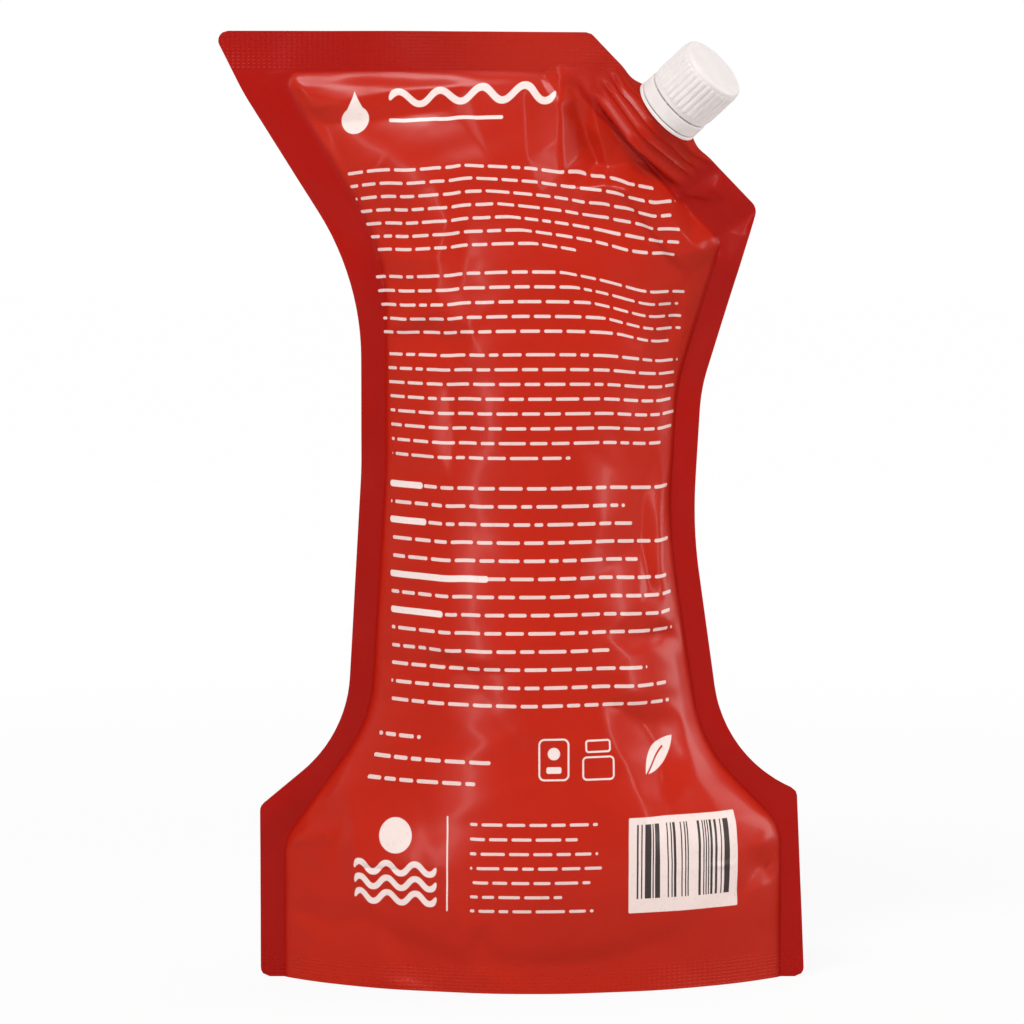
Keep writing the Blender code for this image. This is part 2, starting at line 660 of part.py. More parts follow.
def build_knurls(axis, tools):
    """Ribs round the cap's side, tapered outwards and at both ends."""
    low = CAP_BOTTOM + KNURL_BOTTOM
    high = CAP_TOP - KNURL_TOP
    work = bmesh.new()
    for k in range(KNURLS):
        bar = bmesh.ops.create_cube(work, size=1)["verts"]
        bmesh.ops.scale(work, verts=bar, vec=(2 * KNURL_RISE, KNURL_WIDTH, high - low))
        for vert in bar:
            if vert.co.x > 0:
                vert.co.y *= KNURL_TAPER
                vert.co.z -= math.copysign(KNURL_RISE, vert.co.z)
        bmesh.ops.translate(work, verts=bar, vec=(CAP_R, 0, (low + high) / 2))
        spin = Matrix.Rotation(2 * math.pi * (k + 0.5) / KNURLS, 3, "Z")
        bmesh.ops.rotate(work, verts=bar, matrix=spin)
    mesh = bpy.data.meshes.new("knurls")
    work.to_mesh(mesh)
    work.free()
    made = bpy.data.objects.new("knurls", mesh)
    tools.objects.link(made)
    made.parent = axis
    return made


def build_cap(axis, collection, tools):
    """Knurled cap: turned shell, ribs round its side and a helical ridge inside."""
    arc = []
    for k in range(EDGE_STEPS + 1):
        turn = 0.5 * math.pi * k / EDGE_STEPS
        out = CAP_EDGE_R * math.sin(turn)
        up = CAP_EDGE_R * math.cos(turn)
        arc.append((CAP_R - CAP_EDGE_R + out, CAP_TOP - CAP_EDGE_R + up))
    cap = turned("cap", (
        (0, CAP_TOP + CAP_CROWN),
        (CAP_R / 2, CAP_TOP + CAP_CROWN_SHARE * CAP_CROWN),
        *arc,
        (CAP_R, CAP_BOTTOM),
        (CAP_INNER_R + EDGE, CAP_BOTTOM),
        (CAP_INNER_R, CAP_BOTTOM + EDGE),
        (CAP_INNER_R, CAP_TOP - CAP_ROOF),
        (0, CAP_TOP - CAP_ROOF),
    ), axis, collection)
    combine(cap, build_knurls(axis, tools), "UNION")
    start = THREAD_START - THREAD_PITCH / 2
    combine(cap, thread_ridge("cap_thread", CAP_INNER_R, start, axis, tools), "UNION")
    return cap


def build_wad(axis, collection):
    """Soft sealing disc under the cap's roof."""
    radius = CAP_INNER_R - WAD_PLAY
    profile = ((0, WAD_TOP), (radius, WAD_TOP), (radius, WAD_TOP - WAD_T), (0, WAD_TOP - WAD_T))
    return turned("cap_wad", profile, axis, collection)


def finish(made, colour, roughness):
    material = bpy.data.materials.new(made.name)
    material.use_nodes = True
    shader = material.node_tree.nodes["Principled BSDF"]
    shader.inputs["Base Color"].default_value = (*colour, 1)
    shader.inputs["Roughness"].default_value = roughness
    shader.inputs["Metallic"].default_value = 0
    made.data.materials.append(material)
    made.data.shade_smooth()
    made.data.set_sharp_from_angle(angle=SHARP_ANGLE)


def main():
    for old in list(bpy.data.objects):
        bpy.data.objects.remove(old, do_unlink=True)
    parts = bpy.data.collections.new("soap_refill_pouch")
    tools = bpy.data.collections.new("cutters")
    bpy.context.scene.collection.children.link(parts)
    bpy.context.scene.collection.children.link(tools)
    axis = bpy.data.objects.new("spout_axis", None)
    parts.objects.link(axis)
    across = SPOUT_AXIS.cross(SPOUT_ALONG)
    turn = Matrix((SPOUT_ALONG, across, SPOUT_AXIS)).transposed()
    axis.matrix_world = Matrix.Translation(SPOUT_ORIGIN) @ turn.to_4x4()
    bpy.context.view_layer.update()

    pouch = build_pouch(parts)
    pocket = plate("pocket", TOUCH, 0, -BOAT_LENGTH - TOUCH, BOAT_HALF_DEPTH, axis, tools)
    combine(pouch, pocket, "DIFFERENCE")
    spout = build_spout(axis, parts, tools)
    ring = build_tamper_ring(axis, parts)
    cap = build_cap(axis, parts, tools)
    wad = build_wad(axis, parts)

    finish(pouch, FILM_RED, 0.3)
    finish(spout, SPOUT_WHITE, 0.4)
    finish(ring, CAP_WHITE, 0.4)
    finish(cap, CAP_WHITE, 0.4)
    finish(wad, WAD_WHITE, 0.7)


main()
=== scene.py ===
"""Looks of the filled soap refill pouch: creased film, print, moulded cap and spout, studio.

Metres, +Z up. The printed panel faces -Y, and the pouch stands on the floor at Z = 0.
"""
import math

import bmesh
import bpy
import numpy as np
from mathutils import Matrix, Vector
from mathutils.geometry import delaunay_2d_cdt

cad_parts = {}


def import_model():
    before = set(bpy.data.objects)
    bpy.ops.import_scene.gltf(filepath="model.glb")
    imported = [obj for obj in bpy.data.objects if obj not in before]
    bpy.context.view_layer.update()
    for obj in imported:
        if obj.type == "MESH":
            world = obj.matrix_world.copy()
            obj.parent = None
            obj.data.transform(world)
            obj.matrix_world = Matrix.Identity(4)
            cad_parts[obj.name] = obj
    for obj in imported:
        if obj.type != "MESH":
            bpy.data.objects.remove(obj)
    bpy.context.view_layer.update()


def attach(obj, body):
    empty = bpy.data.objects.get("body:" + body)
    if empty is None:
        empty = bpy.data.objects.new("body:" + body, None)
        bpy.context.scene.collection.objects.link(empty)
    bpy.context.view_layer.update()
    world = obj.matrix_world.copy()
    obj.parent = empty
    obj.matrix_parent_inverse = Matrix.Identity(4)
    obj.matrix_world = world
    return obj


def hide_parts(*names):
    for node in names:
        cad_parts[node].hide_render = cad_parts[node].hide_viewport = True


MM = 0.001

# Film border, looking square at the printed side
PACK_HEIGHT = 0.2955
BASE_HALF_WIDTH = 0.0851
BASE_CORNER_R = 0.0028
SHOULDER_R = 0.0030
LEFT_SHOULDER_Z = 0.0540
RIGHT_SHOULDER_Z = 0.0590
RIGHT_SHOULDER_IN = 0.0025
LEFT_HIP = (-0.0580, 0.0762, 0.0420)
RIGHT_HIP = (0.0600, 0.0689, 0.0410)
LEFT_WAIST = (-0.0532, 0.1600, 0.1500)
RIGHT_WAIST = (0.0498, 0.1420, 0.1500)
LEFT_FLARE_Z = 0.2185
LEFT_FLARE_R = 0.0850
LEFT_BEND = (-0.0894, 0.2765, 0.0800)
RIGHT_FLARE = (0.0523, 0.1845, 0.0600)
LEFT_TIP = (-0.0990, PACK_HEIGHT, 0.0030)
CUT_TIP = (0.0690, 0.2415, 0.0040)
CUT_TOP = (0.0175, PACK_HEIGHT, 0.0030)

# Welds and film
FILM = 0.0002
SIDE_WELD = 0.0074
FLARE_WELD = 0.0110
TOP_WELD = 0.0122
CUT_WELD = 0.0148
FILL_CORNER_R = 0.0040
FILL_HIP_R = 0.0450
FILL_LEFT_FLARE_R = 0.0590
FILL_FLARE_R = 0.0600
FILL_SHOULDER_R = 0.0150
FILL_SHOULDER_DROP = 0.0110
FILL_HIP_RISE = 0.0050
FILL_TOP = PACK_HEIGHT - TOP_WELD

# Half depth of the filled pouch on its centre line, by height
HALF_DEPTH = (
    (0, 0.0325),
    (0.0330, 0.0355),
    (0.0820, 0.0300),
    (0.1500, 0.0232),
    (0.1950, 0.0212),
    (0.2500, 0.0120),
    (FILL_TOP, 0),
)
FILL_ROUNDNESS = 0.85

# Bottom gusset
SKIRT_HEIGHT = 0.0140
FOLD_HEIGHT = 0.0440
GROOVE_WIDTH = 0.0006
GUSSET_RUN = 0.0090
GUSSET_RUN_SHARE = 0.3
GUSSET_SAG = 1.15
ARCH_LOW = 0.0080
ARCH_STEP = 0.0012
# Deeper red of the welds: painted shade, standing for the dark room mirrored in the flat welds
FOLD_SHARE = 1.45
SPOUT_FOLD_SHARE = 1.35

# Lean of the spout corner towards the viewer
LEAN_ANGLE = math.radians(20.0)
LEAN_START = 0.0450
LEAN_BLEND = 0.0120

# Spout and cap, along the spout's own axis from the film's cut edge
SPOUT_ALONG_CUT = 0.453
BOAT_HALF_LENGTH = 0.0200
BOAT_HALF_DEPTH = 0.0072
BOAT_LENGTH = 0.0120
BOAT_COVER = 0.0009
BOAT_FALL = 0.0034
EDGE_DIP = 0.0013
EDGE_DIP_AT = 0.0145
EDGE_DIP_WIDTH = 0.0042
RIB_SAG = 0.0012
BOAT_RIBS = 4
BOAT_RIB = 0.0010
TOUCH = 0.0003
COLLAR_TOP = 0.0013
NECK_R = 0.0085
NECK_TOP = 0.0184
NECK_BORE_R = 0.0069
BOAT_BORE_R = 0.0052
BEAD_R = 0.0094
BEAD_BOTTOM = 0.0040
BEAD_T = 0.0010
COLLAR_R = 0.0114
RING_INNER_R = 0.0097
RING_LIP_R = 0.0088
RING_R = 0.0112
RING_BOTTOM = 0.0016
RING_TOP = 0.0060
CAP_INNER_R = 0.0096
CAP_R = 0.0110
CAP_BOTTOM = 0.0064
CAP_TOP = 0.0216
CAP_ROOF = 0.0014
KNURLS = 36
KNURL_RISE = 0.0003
CAP_COLUMNS = 10
THREAD_PITCH = 0.0032
THREAD_TURNS = 1.5
THREAD_R = 0.0008
THREAD_START = 0.0118
WAD_LOW = 0.0187
WAD_TOP = 0.0199
WAD_R = 0.0093
BRIDGES = 12

# Shares by which the welds' painted shade is held back over the boat and in the top weld's middle, a painted
# highlight where the film there catches the light
BOAT_HIGHLIGHT_SHARE = 0.8
TOP_HIGHLIGHT_SHARE = 0.8
TOP_HIGHLIGHT_X = 0.002
TOP_HIGHLIGHT_WIDTH = 0.034

# Grids of the outline's arcs and of the film, whose rows are (height, rows up to it)
ARC_STEPS = 12
ROW_STOPS = ((0, 0), (0.014, 15), (0.056, 42), (0.120, 50), (0.224, 78), (FILL_TOP, 100), (PACK_HEIGHT, 24))
STEEPEST = 1.5
LEFT_COLUMNS = 10
FILL_COLUMNS = 108
RIGHT_COLUMNS = 22


def arr(pair):
    return np.array(pair[:2], float)


def unit(v):
    return v / np.linalg.norm(v)


CUT_ALONG = unit(arr(CUT_TIP) - arr(CUT_TOP))
CUT_OUT = np.array([-CUT_ALONG[1], CUT_ALONG[0]])
SPOUT_FOOT = arr(CUT_TOP) + SPOUT_ALONG_CUT * (arr(CUT_TIP) - arr(CUT_TOP))


# Outline

def rounded(corners):
    """Line past corners (x, z, radius), each turned by an arc. The two ends only guide it."""
    points = []
    for before, here, after in zip(corners, corners[1:], corners[2:], strict=False):
        p = arr(here)
        a = unit(arr(before) - p)
        b = unit(arr(after) - p)
        half = 0.5 * math.acos(float(np.clip(a @ b, -1, 1)))
        reach = here[2] / math.tan(half)
        centre = p + unit(a + b) * here[2] / math.sin(half)
        mix = np.linspace(0, 1, ARC_STEPS + 1)[:, None]
        spoke = (p + a * reach - centre) * (1 - mix) + (p + b * reach - centre) * mix
        points.append(centre + spoke / np.linalg.norm(spoke, axis=1, keepdims=True) * here[2])
    return np.concatenate(points)


def crossing(p, along_p, q, along_q):
    """Point where the line through p meets the line through q."""
    share = np.linalg.solve(np.column_stack([along_p, -along_q]), q - p)
    return p + share[0] * along_p


def x_at(line, z):
    return np.interp(z, line[:, 1], line[:, 0])


def border_lines():
    """Outer edges and inner weld lines of the film, left and right, as lines that run upwards."""
    up, across = np.array([0.0, 1.0]), np.array([1.0, 0.0])
    left = rounded((
        (0, 0),
        (-BASE_HALF_WIDTH, 0, BASE_CORNER_R),
        (-BASE_HALF_WIDTH, LEFT_SHOULDER_Z, SHOULDER_R),
        LEFT_HIP,
        LEFT_WAIST,
        (LEFT_WAIST[0], LEFT_FLARE_Z, LEFT_FLARE_R),
        LEFT_BEND,
        LEFT_TIP,
        (0, PACK_HEIGHT),
    ))
    right = rounded((
        (0, 0),
        (BASE_HALF_WIDTH, 0, BASE_CORNER_R),
        (BASE_HALF_WIDTH - RIGHT_SHOULDER_IN, RIGHT_SHOULDER_Z, SHOULDER_R),
        RIGHT_HIP,
        RIGHT_WAIST,
        RIGHT_FLARE,
        CUT_TIP,
        CUT_TOP,
        (0, PACK_HEIGHT),
    ))
    waist = np.array([LEFT_WAIST[0], LEFT_FLARE_Z])
    rise = unit(arr(LEFT_TIP) - waist)
    inner = waist + np.array([rise[1], -rise[0]]) * FLARE_WELD
    right_rise = unit(arr(CUT_TIP) - arr(RIGHT_FLARE))
    right_inner = arr(RIGHT_FLARE) + np.array([-right_rise[1], right_rise[0]]) * SIDE_WELD
    cut_inner = arr(CUT_TOP) - CUT_OUT * CUT_WELD
    top = np.array([0, FILL_TOP])
    fill_left = rounded((
        (-BASE_HALF_WIDTH + SIDE_WELD, -FOLD_HEIGHT),
        (-BASE_HALF_WIDTH + SIDE_WELD, LEFT_SHOULDER_Z - FILL_SHOULDER_DROP, FILL_SHOULDER_R),
        (LEFT_HIP[0] + SIDE_WELD, LEFT_HIP[1] + FILL_HIP_RISE, FILL_HIP_R),
        (LEFT_WAIST[0] + SIDE_WELD, *LEFT_WAIST[1:]),
        (*crossing(inner, rise, np.array([LEFT_WAIST[0] + SIDE_WELD, 0]), up), FILL_LEFT_FLARE_R),
        (*crossing(inner, rise, top, across), FILL_CORNER_R),
        (0, FILL_TOP),
    ))
    right_turn = crossing(right_inner, right_rise, np.array([RIGHT_FLARE[0] - SIDE_WELD, 0]), up)
    fill_right = rounded((
        (BASE_HALF_WIDTH - SIDE_WELD, -FOLD_HEIGHT),
        (BASE_HALF_WIDTH - SIDE_WELD, RIGHT_SHOULDER_Z - FILL_SHOULDER_DROP, FILL_SHOULDER_R),
        (RIGHT_HIP[0] - SIDE_WELD, RIGHT_HIP[1] + FILL_HIP_RISE, FILL_HIP_R),
        (RIGHT_WAIST[0] - SIDE_WELD, *RIGHT_WAIST[1:]),
        (*right_turn, FILL_FLARE_R),
        (*crossing(cut_inner, CUT_ALONG, right_inner, right_rise), FILL_CORNER_R),
        (*crossing(cut_inner, CUT_ALONG, top, across), FILL_CORNER_R),
        (0, FILL_TOP),
    ))
    return left, fill_left, fill_right, right


LEFT_EDGE, FILL_LEFT, FILL_RIGHT, RIGHT_EDGE = border_lines()


# Depth of the film

def smoothstep(low, high, value):
    t = np.clip((value - low) / (high - low), 0, 1)
    return t * t * (3 - 2 * t)


def smooth_max(a, b, blend):
    """Larger of two depths, with a rounded valley of the given size where they cross."""
    h = np.maximum(blend - np.abs(a - b), 0) / blend
    return np.maximum(a, b) + h * h * blend / 4


def smooth_through(points, z):
    """Monotone cubic curve through points (z, value), level at its first point."""
    p = np.array(points)
    step = np.diff(p[:, 0])
    rate = np.diff(p[:, 1]) / step
    slope = np.zeros(len(p))
    same = rate[1:] * rate[:-1] > 0
    slope[1:-1][same] = 2 * rate[1:][same] * rate[:-1][same] / (rate[1:] + rate[:-1])[same]
    slope[-1] = rate[-1]
    i = np.clip(np.searchsorted(p[:, 0], z) - 1, 0, len(step) - 1)
    t = np.clip((z - p[i, 0]) / step[i], 0, 1)
    a = (1 + 2 * t) * (1 - t) ** 2 * p[i, 1] + t * (1 - t) ** 2 * step[i] * slope[i]
    return a + t * t * (3 - 2 * t) * p[i + 1, 1] + t * t * (t - 1) * step[i] * slope[i + 1]


def lean(x, z):
    """Offset of the welds' plane along Y near the spout, and how fast it grows."""
    reach = (x - CUT_TOP[0]) * CUT_OUT[0] + (z - CUT_TOP[1]) * CUT_OUT[1] + LEAN_START
    share = np.clip(0.5 + reach / (2 * LEAN_BLEND), 0, 1)
    offset = np.where(reach > LEAN_BLEND, reach, LEAN_BLEND * share**2)
    return -math.tan(LEAN_ANGLE) * offset, -math.tan(LEAN_ANGLE) * share


def boat_depth(along, grow):
    """Half depth of the boat's outline grown by a margin: a circle with straight wings."""
    radius = BOAT_HALF_DEPTH + grow
    slant = math.asin(BOAT_HALF_DEPTH / BOAT_HALF_LENGTH)
    wing = (radius / math.sin(slant) - np.abs(along)) * math.tan(slant)
    crown = np.sqrt(np.maximum(radius**2 - along**2, 0))
    return np.where(np.abs(along) < radius * math.sin(slant), crown, wing)


def cut_frame(x, z):
    """Place along the cut from the spout's middle, and depth into the film from the cut."""
    along = (x - SPOUT_FOOT[0]) * CUT_ALONG[0] + (z - SPOUT_FOOT[1]) * CUT_ALONG[1]
    out = (x - SPOUT_FOOT[0]) * CUT_OUT[0] + (z - SPOUT_FOOT[1]) * CUT_OUT[1]
    return along, -out / math.cos(LEAN_ANGLE)


def edge_dip(along):
    """Sag of the cut edge along the spout's axis: one bell on each side of the collar."""
    return EDGE_DIP * np.exp(-(((np.abs(along) - EDGE_DIP_AT) / EDGE_DIP_WIDTH) ** 2))


def waves(s, length, seed):
    """Uneven wave along s of about the given length: three sines with seeded phases."""
    phase = np.random.default_rng(seed).uniform(0, 2 * math.pi, 3)
    k = 2 * math.pi / length
    return (
        np.sin(k * s + phase[0])
        + 0.6 * np.sin(1.73 * k * s + phase[1])
        + 0.5 * np.sin(0.61 * k * s + phase[2])
    ) / 1.6


def fold(x, z, start, end, depth, width):
    """Valley along a segment.

    Across it the depth falls off as the mean of a round bell and a creased cusp, and along it the
    depth fades towards both ends.
    """
    dx, dz = end[0] - start[0], end[1] - start[1]
    length = math.hypot(dx, dz)
    t = ((x - start[0]) * dx + (z - start[1]) * dz) / length**2
    across = np.abs((x - start[0]) * dz - (z - start[1]) * dx) / length / width
    bell = np.exp(-(across**2))
    cusp = np.exp(-1.4 * across)
    return depth * 0.5 * (bell + cusp) * np.exp(-((2 * t - 1) ** 4))


def ruffle(distance, s, size, length, reach, seed):
    """Gathers that start at a weld and run out into the panel over the given reach."""
    rise = smoothstep(0, 0.25 * reach, distance) * np.exp(-np.maximum(distance, 0) / reach)
    return size * waves(s, length, seed) * rise


# Folds of the printed side, in millimetres: chains of (x, z, rise out of the smooth film)

SPOUT_FOLDS = (
    ((7.5, 285.5, 0.0), (9.0, 281.5, 1.0), (9.6, 274.6, 2.6), (10.3, 265.0, 2.6), (11.5, 255.0, 1.6),
     (15.5, 250.5, 1.4), (24.0, 251.2, 2.6), (31.5, 249.8, 4.6), (39.0, 244.5, 4.4), (46.0, 238.0, 3.0),
     (51.0, 231.5, 1.4)),
    ((12.6, 282.5, 0.2), (14.0, 275.0, -0.4), (15.6, 267.5, -1.6), (17.6, 261.0, -2.9), (20.3, 255.8, -3.6)),
    ((18.0, 276.4, 1.2), (21.0, 265.0, 0.8), (24.1, 255.2, -0.6)),
    ((21.8, 270.5, 0.3), (26.3, 262.2, -0.6), (30.4, 255.6, -1.0), (36.5, 251.2, 0.8), (44.0, 247.0, 0.5),
     (49.5, 239.5, -1.0), (55.0, 233.0, 0.0)),
)
SPOUT_RIM = (
    (-8, 286), (18, 284), (24, 277), (32, 268), (40, 260), (48, 252), (56, 244), (60, 236), (58, 226),
    (48, 222), (38, 232), (26, 240), (14, 241), (4, 248), (0, 258), (-1, 268), (-2, 277),
)
PANEL_FOLDS = (
    ((-74.0, 273.5, -0.8), (-68.0, 267.0, -0.6), (-58.0, 251.0, -0.3)),
    ((-75.5, 279.0, 0.9), (-71.0, 276.8, 1.1), (-60.0, 273.2, 1.2), (-44.0, 276.8, 1.1), (-20.0, 279.3, 0.9),
     (3.0, 281.6, 0.6)),
    ((-71.5, 271.5, 1.0), (-64.0, 258.0, 1.3), (-56.5, 243.0, 0.9)),
    ((-62.0, 267.0, -0.6), (-48.0, 268.5, -0.5), (-25.0, 272.0, -0.4)),
    ((-44.0, 233.5, -0.9), (-41.5, 226.0, 0.6), (-37.0, 216.5, -0.7)),
    ((-26.0, 236.0, 0.5), (-29.5, 226.0, 0.9), (-30.0, 216.5, 0.6)),
    ((-21.0, 240.5, -0.4), (-20.5, 229.0, -0.7), (-22.0, 217.0, -0.3)),
    ((-43.0, 204.0, 0.6), (-37.0, 208.3, 1.1), (-28.6, 210.3, 1.3), (-20.5, 206.5, 1.2), (-18.6, 200.5, 0.8),
     (-22.5, 194.0, 0.3)),
    ((-40.0, 200.5, -1.2), (-32.5, 203.0, -1.3), (-25.5, 200.0, -0.9)),
    ((-35.5, 193.0, 0.4), (-33.0, 181.0, 0.9), (-31.5, 168.0, 0.7)),
    ((-26.0, 187.0, -0.4), (-24.5, 173.0, -0.6), (-25.5, 158.0, -0.2)),
    ((42.5, 230.0, -0.9), (45.0, 219.0, -0.4), (44.5, 208.0, -1.2), (41.0, 199.0, -0.6)),
    ((34.5, 226.0, 0.7), (37.0, 213.0, 1.0), (34.5, 198.0, 0.8), (31.5, 186.0, 0.4)),
    ((38.5, 166.0, 0.3), (34.0, 152.0, -1.1), (33.5, 138.0, -1.5), (36.0, 123.0, -0.9)),
    ((41.0, 158.0, 0.5), (40.2, 145.0, 0.9), (39.8, 130.0, 0.9), (41.0, 119.5, 0.5)),
    ((33.0, 119.0, 0.6), (38.0, 114.8, 0.9), (42.5, 112.5, 0.6)),
    ((35.5, 108.5, -1.1), (40.0, 109.0, -1.6), (44.5, 108.0, -0.8)),
    ((30.0, 104.0, 0.5), (38.0, 103.6, 0.9), (44.5, 100.5, 0.8), (47.8, 90.0, 0.4)),
    ((20.0, 91.0, -0.4), (29.0, 92.6, 0.8), (37.0, 90.6, 1.1), (46.0, 84.0, 0.8)),
    ((27.5, 87.0, -0.9), (33.5, 82.5, -1.9), (38.5, 74.0, -1.7), (40.0, 64.0, -1.4), (41.5, 57.5, -0.6)),
    ((23.5, 80.0, 0.4), (29.0, 71.0, 0.9), (33.5, 60.0, 0.7)),
    ((47.5, 77.0, 0.8), (50.5, 66.0, 0.9), (54.5, 58.5, 0.9), (59.5, 50.0, 1.0), (62.5, 38.0, 1.1),
     (62.0, 27.0, 0.7)),
    ((-35.5, 109.5, 0.5), (-29.0, 106.0, 0.9), (-22.0, 103.5, 0.6)),
    ((-31.0, 101.0, -0.8), (-25.5, 101.5, -0.9), (-20.0, 99.5, -0.3)),
    ((-28.5, 96.0, 0.6), (-29.5, 88.0, 0.9), (-33.5, 80.0, 0.6)),
    ((-24.5, 122.0, 0.6), (-25.0, 113.0, 0.8)),
    ((-57.5, 70.0, 0.3), (-59.5, 61.5, 1.1), (-55.6, 49.5, 1.5), (-54.0, 38.0, 1.2), (-51.0, 27.0, 0.8)),
    ((-64.5, 64.0, -0.6), (-67.5, 52.5, -1.0), (-61.0, 44.5, -0.9), (-59.0, 34.0, -0.5)),
    ((-70.5, 54.0, 0.6), (-72.6, 48.0, 0.9), (-64.5, 47.0, 0.8), (-57.8, 50.5, 0.3)),
    ((-71.6, 28.0, 0.3), (-72.8, 22.0, -0.7), (-71.8, 16.5, 0.2)),
    ((-62.6, 27.5, 0.2), (-63.0, 19.0, -0.7), (-62.4, 12.0, 0.1)),
    ((-48.5, 22.0, 0.5), (-46.8, 12.0, 0.8), (-46.0, 3.0, 0.5)),
    ((-42.0, 24.0, -0.3), (-40.6, 13.0, -0.5), (-40.0, 4.0, -0.2)),
    ((64.5, 38.6, 0.7), (71.0, 36.2, -1.0), (76.0, 36.6, -0.6)),
    ((67.0, 43.0, 0.3), (72.0, 42.5, 0.7), (75.5, 43.0, 0.3)),
    ((67.0, 30.5, 0.3), (71.5, 30.0, 0.6), (75.5, 30.5, 0.2)),
    ((-14.5, 22.0, -0.4), (-15.5, 16.0, -1.2), (-10.5, 11.5, -0.8), (6.0, 9.5, -0.7), (24.0, 11.5, -0.8),
     (38.0, 16.5, -0.4)),
    ((-20.0, 20.0, 0.3), (-21.0, 13.0, 0.4), (-19.0, 8.0, 0.2)),
)
PANEL_RIM = (
    (-81, 285), (-60, 286), (-30, 286), (0, 286), (-72, 262), (-60, 240), (-50, 222), (-46, 200), (-46, 180),
    (-46, 160), (-47, 140), (-48, 120), (-50, 100), (-54, 84), (-62, 72), (-76, 56), (-78, 40), (-78, 20),
    (-78, 0), (-55, 0), (-30, 0), (0, 0), (30, 0), (55, 0), (78, 0), (78, 20), (78, 40), (78, 56), (66, 66),
    (56, 78), (50, 96), (46, 116), (44, 140), (43, 160), (44, 180), (46, 200), (50, 222), (20, 262),
    (-10, 255), (-30, 250), (10, 225), (5, 200), (10, 175), (5, 150), (10, 120), (0, 100), (-10, 130),
    (-10, 165), (-8, 190), (-8, 215), (-45, 258), (0, 70), (-10, 50), (15, 45), (0, 30), (-35, 60),
    (-30, 38), (40, 38), (45, 20), (20, 55), (22, 110), (22, 145), (22, 180), (24, 210),
)

# Bends of the flat border and of the cut corner, in millimetres: (x, z, shift away from the viewer)
BORDER_BENDS = (
    ((49.0, 253.8, 0.0), (56.6, 247.6, -0.9), (60.5, 243.6, 0.6), (69.0, 241.0, 3.6)),
    ((47.5, 249.5, 0.0), (52.0, 243.0, 0.6), (59.5, 234.6, 0.8), (65.5, 233.0, 0.3)),
    ((55.5, 225.0, 0.0), (60.5, 225.5, -1.0), (57.5, 214.0, -0.5)),
)
BORDER_RIM = (
    (40, 262), (44, 247), (48, 236), (52, 226), (50, 205), (58, 200), (70, 220), (76, 245), (60, 256),
)

# Folds of the plain side near the spout, as start, end, depth and width in metres
PLAIN_FOLDS = (
    ((0.0120, 0.2760), (0.0270, 0.2540), 0.0026, 0.0045),
    ((0.0350, 0.2450), (0.0540, 0.2300), 0.0020, 0.0045),
    ((-0.0600, 0.2620), (-0.0480, 0.2350), 0.0014, 0.0045),
)


def fold_net(x, z, chains, rim, soften):
    """Offset given by listed folds.

    The chains' points and the rim's points, whose offset is nil, are joined into triangles that
    keep the chains as edges. Inside a triangle the offset is the blend of its corners' offsets by
    their shares of the area, and a mean over five places a little apart rounds the creases.
    """
    corners, offsets, edges = [], [], []
    for chain in chains:
        first = len(corners)
        corners.extend((px, pz) for px, pz, _ in chain)
        offsets.extend(rise for _, _, rise in chain)
        edges.extend((first + k, first + k + 1) for k in range(len(chain) - 1))
    corners.extend(rim)
    offsets.extend(0.0 for _ in rim)
    flat = [Vector(corner) for corner in corners]
    made = delaunay_2d_cdt(flat, edges, [], 0, 0.001)
    place = np.array([tuple(v) for v in made[0]]) * MM
    rise = np.array([offsets[old[0]] if old else 0.0 for old in made[3]]) * MM
    total = np.zeros_like(x)
    shifts = ((0, 0), (soften, 0), (-soften, 0), (0, soften), (0, -soften))
    for dx, dz in shifts:
        px, pz = x + dx, z + dz
        for a, b, c in made[2]:
            (ax, az), (bx, bz), (cx, cz) = place[a], place[b], place[c]
            area = (bx - ax) * (cz - az) - (cx - ax) * (bz - az)
            if abs(area) < 1e-12:
                continue
            share_b = ((px - ax) * (cz - az) - (cx - ax) * (pz - az)) / area
            share_c = ((bx - ax) * (pz - az) - (px - ax) * (bz - az)) / area
            inside = (share_b >= 0) & (share_c >= 0) & (share_b + share_c < 1)
            level = rise[a] + share_b * (rise[b] - rise[a]) + share_c * (rise[c] - rise[a])
            total += np.where(inside, level, 0)
    return total / len(shifts)


def fill_depth(x, z):
    """Smooth half depth of the filled pouch: its centre line's depth times (4s(1 - s)) ** 0.85,
    where s runs from 0 to 1 between the two weld lines."""
    left, right = x_at(FILL_LEFT, z), x_at(FILL_RIGHT, z)
    s = np.clip((x - left) / (right - left), 0, 1)
    depth = smooth_through(HALF_DEPTH, z) * (4 * s * (1 - s)) ** FILL_ROUNDNESS
    return np.where(z < FILL_TOP, depth, 0)


def weld_reach(x, z):
    """Distance into the filled part from the nearest weld line, roughly, and nil in the welds."""
    left, right = x_at(FILL_LEFT, z), x_at(FILL_RIGHT, z)
    _, deep = cut_frame(x, z)
    reach = np.minimum(np.minimum(x - left, right - x), FILL_TOP - z)
    return np.clip(np.minimum(reach, deep - CUT_WELD), 0, None)


def boat_cover(x, z):
    """Half depth of the film drawn over the boat: the boat's outline plus the film, sagging
    between the ribs by a half sine, and falling away steeply past the boat's foot."""
    along, deep = cut_frame(x, z)
    outline = boat_depth(along, BOAT_COVER)
    spacing = (BOAT_LENGTH - BOAT_RIB) / (BOAT_RIBS - 1)
    beat = np.abs(np.sin(math.pi * (deep - 0.5 * BOAT_RIB) / spacing))
    inside = smoothstep(-0.5 * BOAT_RIB, 0.5 * BOAT_RIB, deep) * (deep < BOAT_LENGTH)
    sag = RIB_SAG * beat**0.8 * inside * smoothstep(0, 0.003, outline)
    fall = 1 - smoothstep(BOAT_LENGTH + 0.0003, BOAT_LENGTH + BOAT_FALL, deep)
    return np.where(outline > 0, (outline - sag) * fall, outline)


